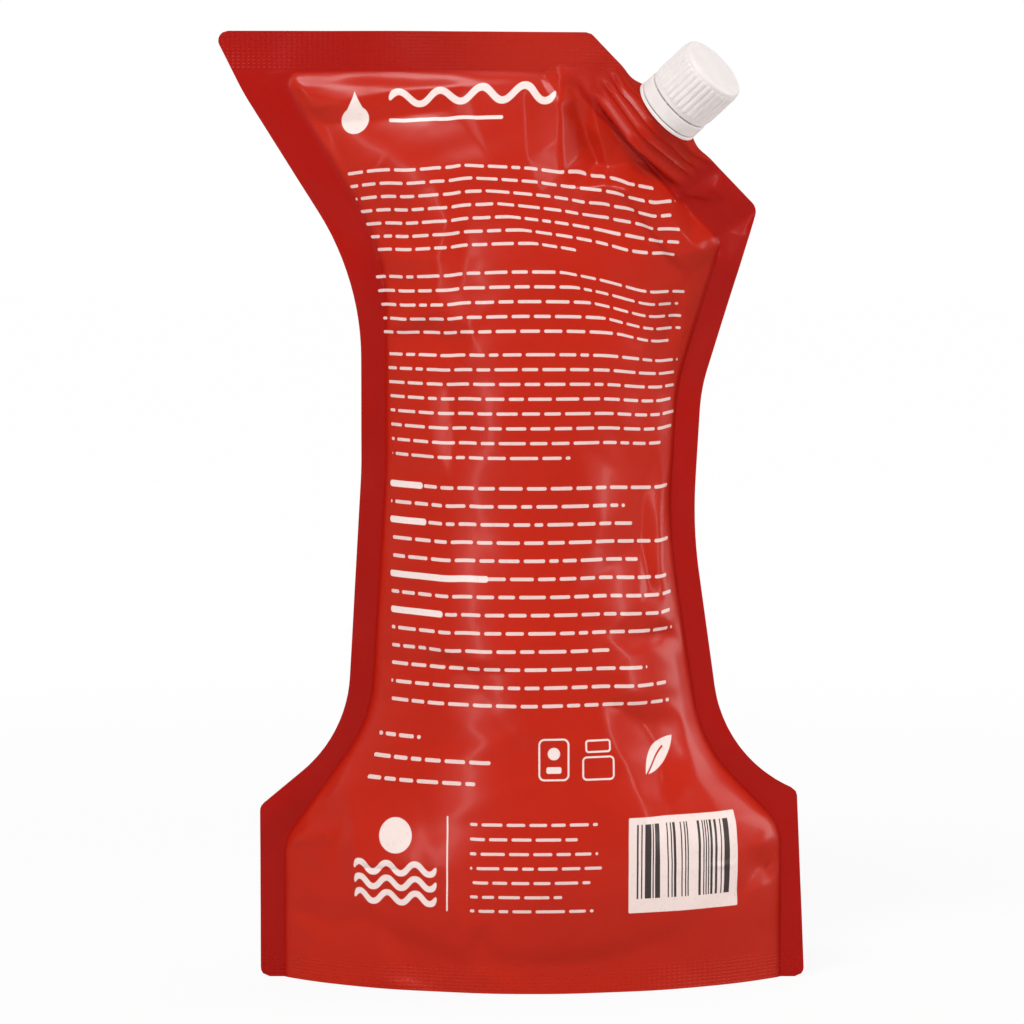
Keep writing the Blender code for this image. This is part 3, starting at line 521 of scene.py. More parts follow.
def gathers(x, z, seed):
    """Fine wrinkles that start at the welds, across them, and die out in the filled part."""
    reach = weld_reach(x, z)
    top = FILL_TOP - z
    sides = ruffle(reach, z, 0.00028, 0.021, 0.011, seed)
    upper = ruffle(np.where(top > 0, top, 0), x, 0.00030, 0.026, 0.013, seed + 1)
    hips = np.exp(-(((z - 0.082) / 0.035) ** 2)) + 0.6 * np.exp(-(((z - 0.235) / 0.04) ** 2))
    diagonal = waves(z + 0.35 * np.abs(x), 0.015, seed + 2) * 0.00022 * hips
    broad = waves(x + 0.3 * z, 0.047, seed + 3) * waves(z, 0.061, seed + 4) * 0.00045
    return (sides + upper + diagonal + broad) * smoothstep(0, 0.006, reach)


def foot_ledge(x, z):
    """Step of the panel at the gusset's arched seal: below the arch the film stands straight, and
    above it the film swells out within a few millimetres."""
    arch = ARCH_LOW + (FOLD_HEIGHT - ARCH_LOW) * (np.abs(x) / (BASE_HALF_WIDTH - SIDE_WELD)) ** 2.4
    middle = 0.35 + 0.65 * np.exp(-((x / 0.055) ** 4))
    return ARCH_STEP * middle * (smoothstep(arch - 0.001, arch + 0.007, z) - 1)


def printed_depth(x, z):
    """Half depth of the printed panel: smooth fill, folds and gathers, or the boat's cover."""
    fill = fill_depth(x, z)
    free = smoothstep(0, 0.005, weld_reach(x, z))
    body = fill + SPOUT_FOLD_SHARE * fold_net(x, z, SPOUT_FOLDS, SPOUT_RIM, 0.0004)
    body = body + FOLD_SHARE * fold_net(x, z, PANEL_FOLDS, PANEL_RIM, 0.0008) * free
    body = body + gathers(x, z, 11) + foot_ledge(x, z) * free
    body = np.maximum(body, np.minimum(fill, 0.0004))
    layers = FILM * (2 - smoothstep(FOLD_HEIGHT, LEFT_SHOULDER_Z, z))
    return smooth_max(body + layers, boat_cover(x, z), 0.0008)


def plain_depth(x, z):
    """Half depth of the other panel, with its own folds."""
    fill = fill_depth(x, z)
    reach = weld_reach(x, z)
    free = smoothstep(0, 0.005, reach)
    body = fill - 0.7 * fold_net(x, z, PANEL_FOLDS, PANEL_RIM, 0.0013) * free
    body = body + gathers(x, z, 31) + foot_ledge(x, z) * free
    for start, end, depth, width in PLAIN_FOLDS:
        body = body - fold(x, z, start, end, depth, width) * np.clip(fill / 0.004, 0, 1)
    body = np.maximum(body, np.minimum(fill, 0.0004))
    layers = FILM * (2 - smoothstep(FOLD_HEIGHT, LEFT_SHOULDER_Z, z))
    return smooth_max(body + layers, boat_cover(x, z), 0.0008)


def sway(x, z):
    """Bend of the film's mid-surface along Y: listed bends at the cut corner, and slow waves
    that grow over the flat borders."""
    left, right = x_at(FILL_LEFT, z), x_at(FILL_RIGHT, z)
    out = smoothstep(0, 0.010, np.maximum(left - x, x - right))
    above = smoothstep(FILL_TOP - 0.002, PACK_HEIGHT, z)
    along, deep = cut_frame(x, z)
    clear = 1 - (1 - smoothstep(0.021, 0.027, np.abs(along))) * (1 - smoothstep(0.015, 0.02, deep))
    side = 0.0007 * out * waves(z + 0.2 * x, 0.043, 51) * smoothstep(0.004, 0.02, z)
    top = 0.0006 * above * waves(x, 0.052, 53)
    bends = fold_net(x, z, BORDER_BENDS, BORDER_RIM, 0.0009) * smoothstep(0.0, 0.004, x - right + 0.004)
    return (side + top + bends) * clear


def film_rows():
    """Heights of the film's rows, closer together at the foot and round the spout."""
    heights = [np.zeros(1)]
    for (low, _), (high, count) in zip(ROW_STOPS, ROW_STOPS[1:], strict=False):
        heights.append(low + (high - low) * np.arange(1, count + 1) / count)
    return np.concatenate(heights)


def film_columns(heights):
    """x of every point of one panel: border, filled part, border, finer towards the spout."""
    z = heights[:, None]
    left, right = x_at(LEFT_EDGE, z), x_at(RIGHT_EDGE, z)
    inner_left, inner_right = x_at(FILL_LEFT, z), x_at(FILL_RIGHT, z)
    t = np.linspace(0, 1, FILL_COLUMNS + 1)[None]
    t = t - 0.2 * np.sin(2 * math.pi * t) / (2 * math.pi)
    lead = 0.45 * smoothstep(0.20, 0.25, z)
    t = t + lead * t * (1 - t)
    a = np.linspace(0, 1, LEFT_COLUMNS + 1)[None, :-1]
    b = np.linspace(0, 1, RIGHT_COLUMNS + 1)[None, 1:]
    return np.concatenate([
        left + (inner_left - left) * a,
        inner_left + (inner_right - inner_left) * t,
        inner_right + (right - inner_right) * b,
    ], axis=1)


def panel(x, z, side, depth, bend):
    """Points of one panel: the leaning, bending mid-surface plus depth along its normal."""
    offset, rate = lean(x, z)
    normal = np.stack([-rate * CUT_OUT[0], np.ones_like(x), -rate * CUT_OUT[1]], axis=-1)
    normal /= np.linalg.norm(normal, axis=-1, keepdims=True)
    middle = np.stack([x, offset + bend, z], axis=-1)
    return middle + side * depth[..., None] * normal


def gusset_sheet(x, near, far):
    """Underside, one profile per column: up the inside of the near skirt, over a quarter turn into
    the sagging floor film, and back down to the far skirt. Nil height in the welds."""
    inner_near = near - 2 * FILM
    inner_far = far - 2 * FILM
    depth = np.clip(0.5 * (inner_near + inner_far), 0.0001, None)
    share = 1 - np.clip(depth / HALF_DEPTH[0][1], 0, 1)
    top = SKIRT_HEIGHT + (FOLD_HEIGHT - SKIRT_HEIGHT) * share**2
    top = top * smoothstep(0, 0.004, depth)
    inner = np.clip(depth - GROOVE_WIDTH, 0.00005, None)
    run = np.minimum(GUSSET_RUN, GUSSET_RUN_SHARE * inner)
    floor = np.maximum(0.0004 * smoothstep(0, 0.004, depth), top - GUSSET_SAG * inner)
    rise = np.linspace(0, 1, 6)[:, None]
    turn = 0.5 * math.pi * np.linspace(0, 1, 7)[:, None]
    reach = np.concatenate([1 + 0 * rise * depth, (inner - run * (1 - np.cos(turn))) / depth])
    level = np.concatenate([top * rise, floor + (top - floor) * (1 - np.sin(turn))])
    flat = np.linspace(1, 0, 5)[1:, None] * reach[-1:]
    pleat = 0.0006 * np.sin(x / 0.0019) * smoothstep(0.004, 0.02, depth)
    level = np.concatenate([level, floor + 0 * flat + pleat * np.sin(math.pi * flat)])
    reach = np.concatenate([reach, flat])
    y = np.concatenate([-reach * np.clip(inner_near, 0.0001, None),
                        reach[-2::-1] * np.clip(inner_far, 0.0001, None)])
    z = np.concatenate([level, level[-2::-1]])
    return np.stack([x + 0 * y, y, z], axis=-1)


def grid_faces(index, wrap=False, flip=False):
    """Four-cornered faces between neighbours of a table of point numbers."""
    if wrap:
        index = np.concatenate([index, index[:, :1]], axis=1)
    a, b, c, d = index[:-1, :-1], index[:-1, 1:], index[1:, 1:], index[1:, :-1]
    order = (a, d, c, b) if flip else (a, b, c, d)
    return np.stack(order, axis=-1).reshape(-1, 4)


def put_mesh(name, points, faces, materials, slots=None, sharp=35):
    """Object from points and four-cornered faces; a face whose corners meet becomes a triangle."""
    rounds = [list(dict.fromkeys(face)) for face in faces]
    mesh = bpy.data.meshes.new(name)
    mesh.from_pydata(np.asarray(points).reshape(-1, 3), [], rounds)
    for material in materials:
        mesh.materials.append(material)
    if slots is not None:
        mesh.polygons.foreach_set("material_index", np.asarray(slots, dtype=np.int32))
    mesh.shade_smooth()
    mesh.set_sharp_from_angle(angle=math.radians(sharp))
    mesh.update()
    piece = bpy.data.objects.new(name, mesh)
    bpy.context.scene.collection.objects.link(piece)
    return piece


def put_attribute(mesh, name, values):
    mesh.attributes.new(name, "FLOAT_VECTOR", "POINT").data.foreach_set("vector", values.ravel())


def sample(table, xs, zs, x, z):
    """Value of a table at given places, blended between its four nearest entries."""
    i = np.clip((x - xs[0]) / (xs[1] - xs[0]), 0, len(xs) - 1.001)
    j = np.clip((z - zs[0]) / (zs[1] - zs[0]), 0, len(zs) - 1.001)
    i0, j0 = i.astype(int), j.astype(int)
    a, b = i - i0, j - j0
    low = table[j0, i0] * (1 - a) + table[j0, i0 + 1] * a
    high = table[j0 + 1, i0] * (1 - a) + table[j0 + 1, i0 + 1] * a
    return low * (1 - b) + high * b


def film_place(x, z):
    """Place on the flat film before it was filled: the length of surface from the centre line, and
    the height plus the length that the folds take up."""
    xs = np.linspace(-0.1, 0.1, 261)
    zs = np.linspace(0, PACK_HEIGHT, 331)
    gx, gz = np.meshgrid(xs, zs)
    across = np.clip(np.gradient(printed_depth(gx, gz), xs, axis=1), -STEEPEST, STEEPEST)
    extra = np.cumsum(np.sqrt(1 + across**2) - 1, axis=1) * (xs[1] - xs[0])
    middle = len(xs) // 2
    extra = extra - extra[:, middle:middle + 1]
    folds = fold_net(gx, gz, SPOUT_FOLDS, SPOUT_RIM, 0.0008) + fold_net(gx, gz, PANEL_FOLDS, PANEL_RIM, 0.001)
    upward = np.clip(np.gradient(folds, zs, axis=0), -STEEPEST, STEEPEST)
    taken = np.cumsum(np.sqrt(1 + upward**2) - 1, axis=0) * (zs[1] - zs[0])
    return x + sample(extra, xs, zs, x, z), z + sample(taken, xs, zs, x, z)


def build_film(printed, plain, foot, edge):
    """The whole envelope as one closed surface: two panels on one grid of heights and columns,
    their outer edges joined, and the gusset sheet below."""
    heights = film_rows()
    x = film_columns(heights)
    z = np.repeat(heights[:, None], x.shape[1], axis=1)
    bend = sway(x, z)
    near_depth = printed_depth(x, z)
    far_depth = plain_depth(x, z)
    along, deep = cut_frame(x, z)
    dip = (edge_dip(along) * (1 - smoothstep(0, 0.009, deep)))[..., None] * AXIS_UP
    near = panel(x, z, -1, near_depth, bend) - dip
    far = panel(x, z, 1, far_depth, bend) - dip
    rows, cols = x.shape
    under = gusset_sheet(x[0], near_depth[0], far_depth[0])
    count = rows * cols
    near_index = np.arange(count).reshape(rows, cols)
    far_index = near_index + count
    under_index = np.arange(len(under) * cols).reshape(len(under), cols) + 2 * count
    base = np.concatenate([near_index[:1], under_index, far_index[:1]])
    parts = (
        (grid_faces(near_index), 0),
        (grid_faces(far_index, flip=True), 1),
        (grid_faces(np.stack([far_index[:, 0], near_index[:, 0]], axis=1)), 3),
        (grid_faces(np.stack([near_index[:, -1], far_index[:, -1]], axis=1)), 3),
        (grid_faces(np.stack([near_index[-1], far_index[-1]])), 3),
        (grid_faces(base, flip=True), 2),
    )
    faces = np.concatenate([part for part, _ in parts]).tolist()
    faces += [base[:, 0].tolist(), base[::-1, -1].tolist()]
    slots = np.concatenate([np.full(len(part), slot) for part, slot in parts] + [np.full(2, 2)])
    points = np.concatenate([near.reshape(-1, 3), far.reshape(-1, 3), under.reshape(-1, 3)])
    film = put_mesh("pouch_film", points, faces, (printed, plain, foot, edge), slots, sharp=48)
    u, v = film_place(x, z)
    # Painted highlight: over the boat and in the top weld's middle, the welds' painted shade is held back as
    # if the film there caught the light
    over_boat = 1 - smoothstep(0.80, 1.05, np.abs(along) / BOAT_HALF_LENGTH)
    over_boat = over_boat * (1 - smoothstep(BOAT_LENGTH, BOAT_LENGTH + 0.003, deep))
    top_middle = np.exp(-(((x - TOP_HIGHLIGHT_X) / TOP_HIGHLIGHT_WIDTH) ** 2)) * smoothstep(0.268, 0.280, z)
    painted_highlight = np.maximum(BOAT_HIGHLIGHT_SHARE * over_boat, TOP_HIGHLIGHT_SHARE * top_middle)
    weld_and_shade = (1 - smoothstep(0.0002, 0.0014, weld_reach(x, z))) * (1 - painted_highlight)
    place = np.stack([u, v, weld_and_shade], axis=-1).reshape(-1, 3)
    under_place = np.stack([under[..., 0], under[..., 1], 0 * under[..., 0]], axis=-1).reshape(-1, 3)
    put_attribute(film.data, "place", np.concatenate([place, place, under_place]))
    return film


# Turned pieces on the spout's axis

AXIS_ORIGIN = np.array([SPOUT_FOOT[0], float(lean(*SPOUT_FOOT)[0]), SPOUT_FOOT[1]])
AXIS_ALONG = np.array([CUT_ALONG[0], 0, CUT_ALONG[1]])
AXIS_UP = np.array([
    CUT_OUT[0] * math.cos(LEAN_ANGLE),
    -math.sin(LEAN_ANGLE),
    CUT_OUT[1] * math.cos(LEAN_ANGLE),
])
AXIS_ACROSS = np.cross(AXIS_UP, AXIS_ALONG)


def place_on_axis(along, across, height):
    return (
        AXIS_ORIGIN
        + along[..., None] * AXIS_ALONG
        + across[..., None] * AXIS_ACROSS
        + height[..., None] * AXIS_UP
    )


def run_profile(stops):
    """Profile through stops (radius, height, points up to here), evenly spaced on each stretch."""
    made = [np.array([stops[0][:2]], float)]
    for before, here in zip(stops, stops[1:], strict=False):
        t = np.arange(1, here[2] + 1)[:, None] / here[2]
        made.append(np.array(before[:2]) * (1 - t) + np.array(here[:2]) * t)
    return np.concatenate(made)


def arc(centre, radius, start, end, steps):
    """Arc of a profile between two angles in degrees, as (radius, height) points."""
    turn = np.radians(np.linspace(start, end, steps + 1))
    return np.stack([centre[0] + radius * np.cos(turn), centre[1] + radius * np.sin(turn)], axis=1)


def turned_piece(name, profile, materials, columns, shape=None, closed=False, sharp=35):
    """Surface of revolution: a profile of (radius, height) carried round the axis. A shape function
    of angle, radius and height may change the radius. Ends on the axis close to a point."""
    turn = np.arange(columns) * 2 * math.pi / columns
    radius = np.repeat(profile[:, :1], columns, axis=1)
    height = np.repeat(profile[:, 1:], columns, axis=1)
    angle = np.repeat(turn[None], len(profile), axis=0)
    if shape is not None:
        radius = shape(angle, radius, height)
    points = place_on_axis(radius * np.cos(angle), radius * np.sin(angle), height)
    index = np.arange(points.shape[0] * columns).reshape(-1, columns)
    if closed:
        index = np.concatenate([index, index[:1]])
    else:
        index[0], index[-1] = index[0, 0], index[-1, 0]
    piece = put_mesh(name, points, grid_faces(index, wrap=True).tolist(), materials, sharp=sharp)
    tidy(piece.data)
    return piece


def tidy(mesh):
    """Joins the doubled points of poles, drops loose ones and turns the faces outwards."""
    work = bmesh.new()
    work.from_mesh(mesh)
    loose = [vert for vert in work.verts if not vert.link_faces]
    bmesh.ops.delete(work, geom=loose, context="VERTS")
    bmesh.ops.remove_doubles(work, verts=work.verts[:], dist=1e-6)
    bmesh.ops.recalc_face_normals(work, faces=work.faces[:])
    work.to_mesh(mesh)
    work.free()


def helix_ridge(angle, height, start, pitch, turns, size):
    """Height of a round-backed thread ridge at a place on a wall. At each angle the ridge's centre
    is at start plus pitch times the angle's share of a turn plus whole turns; the ridge falls to
    nil one size away from it, and its two ends run out over a tenth of a turn."""
    share = angle / (2 * math.pi)
    turn = np.round((height - start) / pitch - share)
    travel = share + turn
    away = np.abs(height - start - pitch * travel)
    run_out = smoothstep(0, 0.1, travel) * smoothstep(0, 0.1, turns - travel)
    return np.sqrt(np.clip(size**2 - away**2, 0, None)) * run_out


def build_cap(plastic):
    """Cap: crowned roof, rounded shoulder, wall with ribs, open foot and threaded inside."""
    low, high = CAP_BOTTOM + 0.0016, CAP_TOP - 0.0017
    shoulder = arc((CAP_R - 0.0012, CAP_TOP - 0.0012), 0.0012, 90, 0, 10)
    roof_in = np.linspace(0, CAP_R - 0.0012, 24)[:-1]
    crown = np.stack([roof_in, CAP_TOP + 0.0004 * (1 - (roof_in / CAP_R) ** 2)], axis=1)
    dish = smoothstep(0.0066, 0.0078, roof_in) * (1 - smoothstep(0.0078, 0.0088, roof_in))
    crown[:, 1] -= 0.00012 * dish
    wall = run_profile((
        (CAP_R, CAP_TOP - 0.0012, 1),
        (CAP_R, high, 3),
        (CAP_R, low, 56),
        (CAP_R, CAP_BOTTOM + 0.0002, 6),
        (CAP_R - 0.0002, CAP_BOTTOM, 1),
        (CAP_INNER_R + 0.0003, CAP_BOTTOM, 3),
        (CAP_INNER_R, CAP_BOTTOM + 0.0003, 2),
        (CAP_INNER_R, CAP_TOP - CAP_ROOF, 92),
        (0, CAP_TOP - CAP_ROOF, 8),
    ))
    profile = np.concatenate([crown, shoulder, wall[1:]])

    def shape(angle, radius, height):
        beat = np.abs(np.mod(angle * KNURLS / (2 * math.pi), 1) - 0.5) * 2
        rib = 1 - smoothstep(0.42, 0.72, beat)
        span = smoothstep(low - 0.0003, low + 0.0005, height)
        span = span * (1 - smoothstep(high - 0.0007, high + 0.0002, height))
        outer = radius > CAP_R - 0.00005
        inner = np.abs(radius - CAP_INNER_R) < 0.00005
        start = THREAD_START - THREAD_PITCH / 2
        ridge = helix_ridge(angle, height, start, THREAD_PITCH, THREAD_TURNS, THREAD_R)
        return radius + outer * KNURL_RISE * rib * span - inner * ridge

    return turned_piece("soap_cap", profile, (plastic,), KNURLS * CAP_COLUMNS, shape, sharp=50)


def build_ring(plastic):
    """Smooth band with a rounded top and an inner lip under the bead."""
    profile = np.concatenate([
        arc((RING_R - 0.0003, RING_TOP - 0.0003), 0.0003, 90, 0, 5),
        run_profile(((RING_R, RING_TOP - 0.0003, 1), (RING_R, RING_BOTTOM + 0.0003, 10)))[1:],
        arc((RING_R - 0.0003, RING_BOTTOM + 0.0003), 0.0003, 0, -90, 5)[1:],
        run_profile((
            (RING_R - 0.0003, RING_BOTTOM, 1),
            (RING_LIP_R, RING_BOTTOM, 4),
            (RING_LIP_R, RING_BOTTOM + 0.0005, 2),
            (RING_INNER_R, RING_BOTTOM + 0.0014, 3),
            (RING_INNER_R, RING_TOP - 0.0001, 8),
            (RING_INNER_R + 0.0001, RING_TOP, 1),
        ))[1:],
    ])
    return turned_piece("soap_tamper_ring", profile, (plastic,), 192, closed=True)


def build_bridges(plastic):
    """Twelve thin moulded bridges between the band and the cap, small boxes with drawn-in sides."""
    turn = (np.arange(BRIDGES) + 0.5) * 2 * math.pi / BRIDGES
    s = np.array([-1, 1, 1, -1]) * 0.5
    t = np.array([-1, -1, 1, 1]) * 0.5
    levels = np.array([RING_TOP - 0.0003, RING_TOP + 0.00005, CAP_BOTTOM - 0.00005])
    width = np.array([0.0009, 0.0006, 0.0004])
    radial = 0.0004
    around = s[None, :] * width[:, None]
    out = RING_R - 0.0005 + t[None, :] * radial
    cos, sin = np.cos(turn)[:, None, None], np.sin(turn)[:, None, None]
    x = out[None] * cos - around[None] * sin
    y = out[None] * sin + around[None] * cos
    h = np.broadcast_to(levels[None, :, None], x.shape)
    points = place_on_axis(x, y, h)
    index = np.arange(points[..., 0].size).reshape(BRIDGES, len(levels), 4)
    sides = [grid_faces(block, wrap=True) for block in index]
    ends = np.concatenate([index[:, 0, ::-1], index[:, -1]])
    faces = np.concatenate([*sides, ends]).tolist()
    piece = put_mesh("soap_tamper_bridges", points, faces, (plastic,))
    tidy(piece.data)
    return piece


def build_spout(plastic):
    """Collar, retaining bead and threaded neck round a clear bore."""
    edge = 0.0003
    profile = run_profile((
        (NECK_BORE_R, NECK_TOP - edge, 1),
        (NECK_BORE_R + edge, NECK_TOP, 2),
        (NECK_R - edge, NECK_TOP, 4),
        (NECK_R, NECK_TOP - edge, 2),
        (NECK_R, BEAD_BOTTOM + BEAD_T + 0.0009, 76),
        (BEAD_R, BEAD_BOTTOM + BEAD_T, 4),
        (BEAD_R, BEAD_BOTTOM, 3),
        (NECK_R, BEAD_BOTTOM, 3),
        (NECK_R, COLLAR_TOP + 0.0003, 6),
        (NECK_R + 0.0003, COLLAR_TOP, 2),
        (COLLAR_R - 0.0003, COLLAR_TOP, 5),
        (COLLAR_R, COLLAR_TOP - 0.0003, 2),
        (COLLAR_R, TOUCH + 0.0001, 3),
        (COLLAR_R - 0.0001, TOUCH, 1),
        (BOAT_BORE_R + 0.0013, TOUCH, 6),
        (BOAT_BORE_R + 0.0013, -BOAT_LENGTH, 12),
        (BOAT_BORE_R, -BOAT_LENGTH, 2),
        (BOAT_BORE_R, -BOAT_RIB, 10),
        (NECK_BORE_R, COLLAR_TOP, 4),
        (NECK_BORE_R, NECK_TOP - edge, 12),
    ))[:-1]

    def shape(angle, radius, height):
        outer = np.abs(radius - NECK_R) < 0.00005
        ridge = helix_ridge(angle, height, THREAD_START, THREAD_PITCH, THREAD_TURNS, THREAD_R)
        return radius + outer * ridge * (height > BEAD_BOTTOM + BEAD_T)

    return turned_piece("soap_spout", profile, (plastic,), 240, shape, closed=True)


def build_boat(plastic):
    """Weld foot: the boat's lens outline, one loop per height, drawn in between its ribs."""
    reach = np.sin(np.linspace(-0.5 * math.pi, 0.5 * math.pi, 61)) * (BOAT_HALF_LENGTH - 0.0006)
    height = np.linspace(-0.0001, -BOAT_LENGTH, 73)
    spacing = (BOAT_LENGTH - BOAT_RIB) / (BOAT_RIBS - 1)
    rib = np.abs(np.mod(-height + 0.5 * spacing - 0.5 * BOAT_RIB, spacing) - 0.5 * spacing)
    drawn = -0.0007 * smoothstep(0.4 * BOAT_RIB, 0.65 * BOAT_RIB, rib)
    along = np.concatenate([reach, reach[-2:0:-1]])
    side = np.concatenate([np.ones(61), -np.ones(59)])
    grow = drawn[:, None]
    depth = np.clip(boat_depth(along[None] * (1 + grow / BOAT_HALF_LENGTH), grow), 0.0002, None)
    dip = edge_dip(along)[None] + 0.0001
    level = height[:, None] * (1 - dip / BOAT_LENGTH) - dip
    points = place_on_axis(np.broadcast_to(along[None], depth.shape), side[None] * depth, level)
    index = np.arange(depth.size).reshape(depth.shape)
    near = np.arange(len(reach))
    across = np.stack([near, -near % len(along)])
    faces = np.concatenate([
        grid_faces(index, wrap=True),
        index[0][grid_faces(across)],
        index[-1][grid_faces(across, flip=True)],
    ])
    piece = put_mesh("soap_spout_boat", points, faces.tolist(), (plastic,))
    tidy(piece.data)
    return piece


def build_wad(foam):
    """Sealing disc with softly pressed edges and the neck's ring pressed into its underside."""
    top, low, radius = WAD_TOP, WAD_LOW, WAD_R
    press = np.linspace(0, radius - 0.0003, 40)
    mark = smoothstep(NECK_BORE_R - 0.0004, NECK_BORE_R, press)
    mark = mark * (1 - smoothstep(NECK_R, NECK_R + 0.0003, press))
    under = np.stack([press, low + 0.00018 * mark], axis=1)[::-1]
    profile = np.concatenate([
        run_profile(((0, top, 1), (radius - 0.0003, top, 12))),
        arc((radius - 0.0003, top - 0.0003), 0.0003, 80, 0, 4),
        arc((radius - 0.0003, low + 0.0003), 0.0003, 0, -80, 4),
        under,
    ])
    return turned_piece("soap_cap_wad", profile, (foam,), 128)


# Shader maths

class Val:
    """One shader socket that can be used in Python arithmetic; each operation adds its Math node."""

    def __init__(self, shop, socket):
        self.shop = shop
        self.socket = socket

    def maths(self, operation, *others):
        return self.shop.node("ShaderNodeMath", {"operation": operation}, (self, *others))

    def __add__(self, other):
        return self.maths("ADD", other)

    __radd__ = __add__

    def __mul__(self, other):
        return self.maths("MULTIPLY", other)

    __rmul__ = __mul__

    def __sub__(self, other):
        return self.maths("SUBTRACT", other)

    def __rsub__(self, other):
        return self.shop.node("ShaderNodeMath", {"operation": "SUBTRACT"}, (other, self))

    def __truediv__(self, other):
        return self.maths("DIVIDE", other)

    def __lt__(self, other):
        return self.maths("LESS_THAN", other)

    def __gt__(self, other):
        return self.maths("GREATER_THAN", other)

    def power(self, exponent):
        return self.maths("POWER", exponent)

    def least(self, other):
        return self.maths("MINIMUM", other)

    def most(self, other):
        return self.maths("MAXIMUM", other)

    def size(self):
        return self.maths("ABSOLUTE")

    def floor(self):
        return self.maths("FLOOR")

    def root(self):
        return self.maths("SQRT")

    def wave(self):
        return self.maths("SINE")

    def ramp(self, low, high, out_low=0.0, out_high=1.0):
        """Smooth step from one output to another while the value runs from low to high."""
        settings = {"interpolation_type": "SMOOTHSTEP"}
        return self.shop.node("ShaderNodeMapRange", settings, (self, low, high, out_low, out_high))


class Finish:
    """One material under construction: adds nodes, and holds the shader that ends it."""

    def __init__(self, name):
        self.material = bpy.data.materials.new(name)
        self.material.use_nodes = True
        self.tree = self.material.node_tree
        self.tree.nodes.clear()
        self.out = self.tree.nodes.new("ShaderNodeOutputMaterial")

    def node(self, kind, settings=None, values=(), out=0):
        """Adds a node: its settings first, then the values or links of its sockets."""
        made = self.tree.nodes.new(kind)
        for key, value in (settings or {}).items():
            setattr(made, key, value)
        pairs = values.items() if isinstance(values, dict) else enumerate(values)
        for key, value in pairs:
            if isinstance(value, Val):
                self.tree.links.new(value.socket, made.inputs[key])
            elif value is not None:
                made.inputs[key].default_value = value
        return Val(self, made.outputs[out])

    def spot(self):
        """Place of the surface in its object's frame."""
        return self.node("ShaderNodeTexCoord", out="Object")

    def split(self, vector):
        parts = self.node("ShaderNodeSeparateXYZ", values=(vector,))
        outputs = parts.socket.node.outputs
        return tuple(Val(self, outputs[k]) for k in range(3))

    def attribute(self, name):
        return self.split(self.node("ShaderNodeAttribute", {"attribute_name": name}, out="Vector"))

    def noise(self, vector, scale, detail=3.0, roughness=0.55):
        values = {"Vector": vector, "Scale": scale, "Detail": detail, "Roughness": roughness}
        return self.node("ShaderNodeTexNoise", {"noise_dimensions": "3D"}, values)

    def mix(self, share, a, b):
        """Colour a where the share is 0, and b where it is 1."""
        made = self.tree.nodes.new("ShaderNodeMix")
        made.data_type = "RGBA"
        for key, value in ((0, share), (6, a), (7, b)):
            if isinstance(value, Val):
                self.tree.links.new(value.socket, made.inputs[key])
            else:
                made.inputs[key].default_value = value
        return Val(self, made.outputs[2])

    def bump(self, height):
        """Normal of a relief whose height is given in metres."""
        values = {"Height": height, "Strength": 1.0, "Distance": 1.0}
        return self.node("ShaderNodeBump", values=values)

    def shade(self, **values):
        """Ends the material in a Principled shader with these values or links."""
        settings = {key.replace("_", " "): value for key, value in values.items()}
        body = self.node("ShaderNodeBsdfPrincipled", values=settings)
        self.tree.links.new(body.socket, self.out.inputs["Surface"])
        return self.material


def rgb(red, green, blue):
    """Linear colour of 0 to 255 screen values."""
    share = [c / 255 for c in (red, green, blue)]
    return (*[c / 12.92 if c <= 0.04045 else ((c + 0.055) / 1.055) ** 2.4 for c in share], 1.0)


RED = rgb(187, 37, 19)
WELD_SHADE_RED = rgb(160, 9, 4)
INK_WHITE = rgb(240, 222, 216)
INK_DARK = rgb(32, 24, 24)
PLASTIC_WHITE = rgb(233, 225, 222)
FOAM_WHITE = rgb(232, 230, 224)

# Print, in millimetres on the flat film: rows of word bars as (left, drift of the left end for
# each millimetre down, right, top row, row pitch, rows, bar height, last row's share, least share)
TEXT_BLOCKS = (
    (-59.5, 0.30, 48.5, 255.5, 4.10, 7, 1.05, 0.72, 0.93),
    (-53.0, 0.06, 51.5, 222.2, 4.50, 5, 1.05, 0.96, 0.94),
    (-50.5, 0.05, 50.5, 197.0, 4.55, 8, 1.05, 0.64, 0.93),
    (-49.5, 0.00, 50.0, 155.8, 5.55, 13, 1.15, 0.97, 0.62),
    (-54.0, -0.15, -11.0, 78.4, 6.60, 3, 1.25, 0.98, 0.40),
    (-19.5, 0.00, 21.5, 53.0, 4.45, 7, 1.00, 0.95, 0.55),
)
# The upper rows hang at both ends, and more so towards the spout: millimetres for each square
# millimetre from the middle, growing over these heights in metres
DROOP_SPAN = (0.165, 0.235)
DROOP = 0.0011
DROOP_RIGHT = 0.0022
DROOP_RIGHT_FROM = 10.0
WORD_LENGTH = 7.2
WORD_GAP = 0.60
TEXT_INK = 0.80
PRINT_BLUR = 0.12


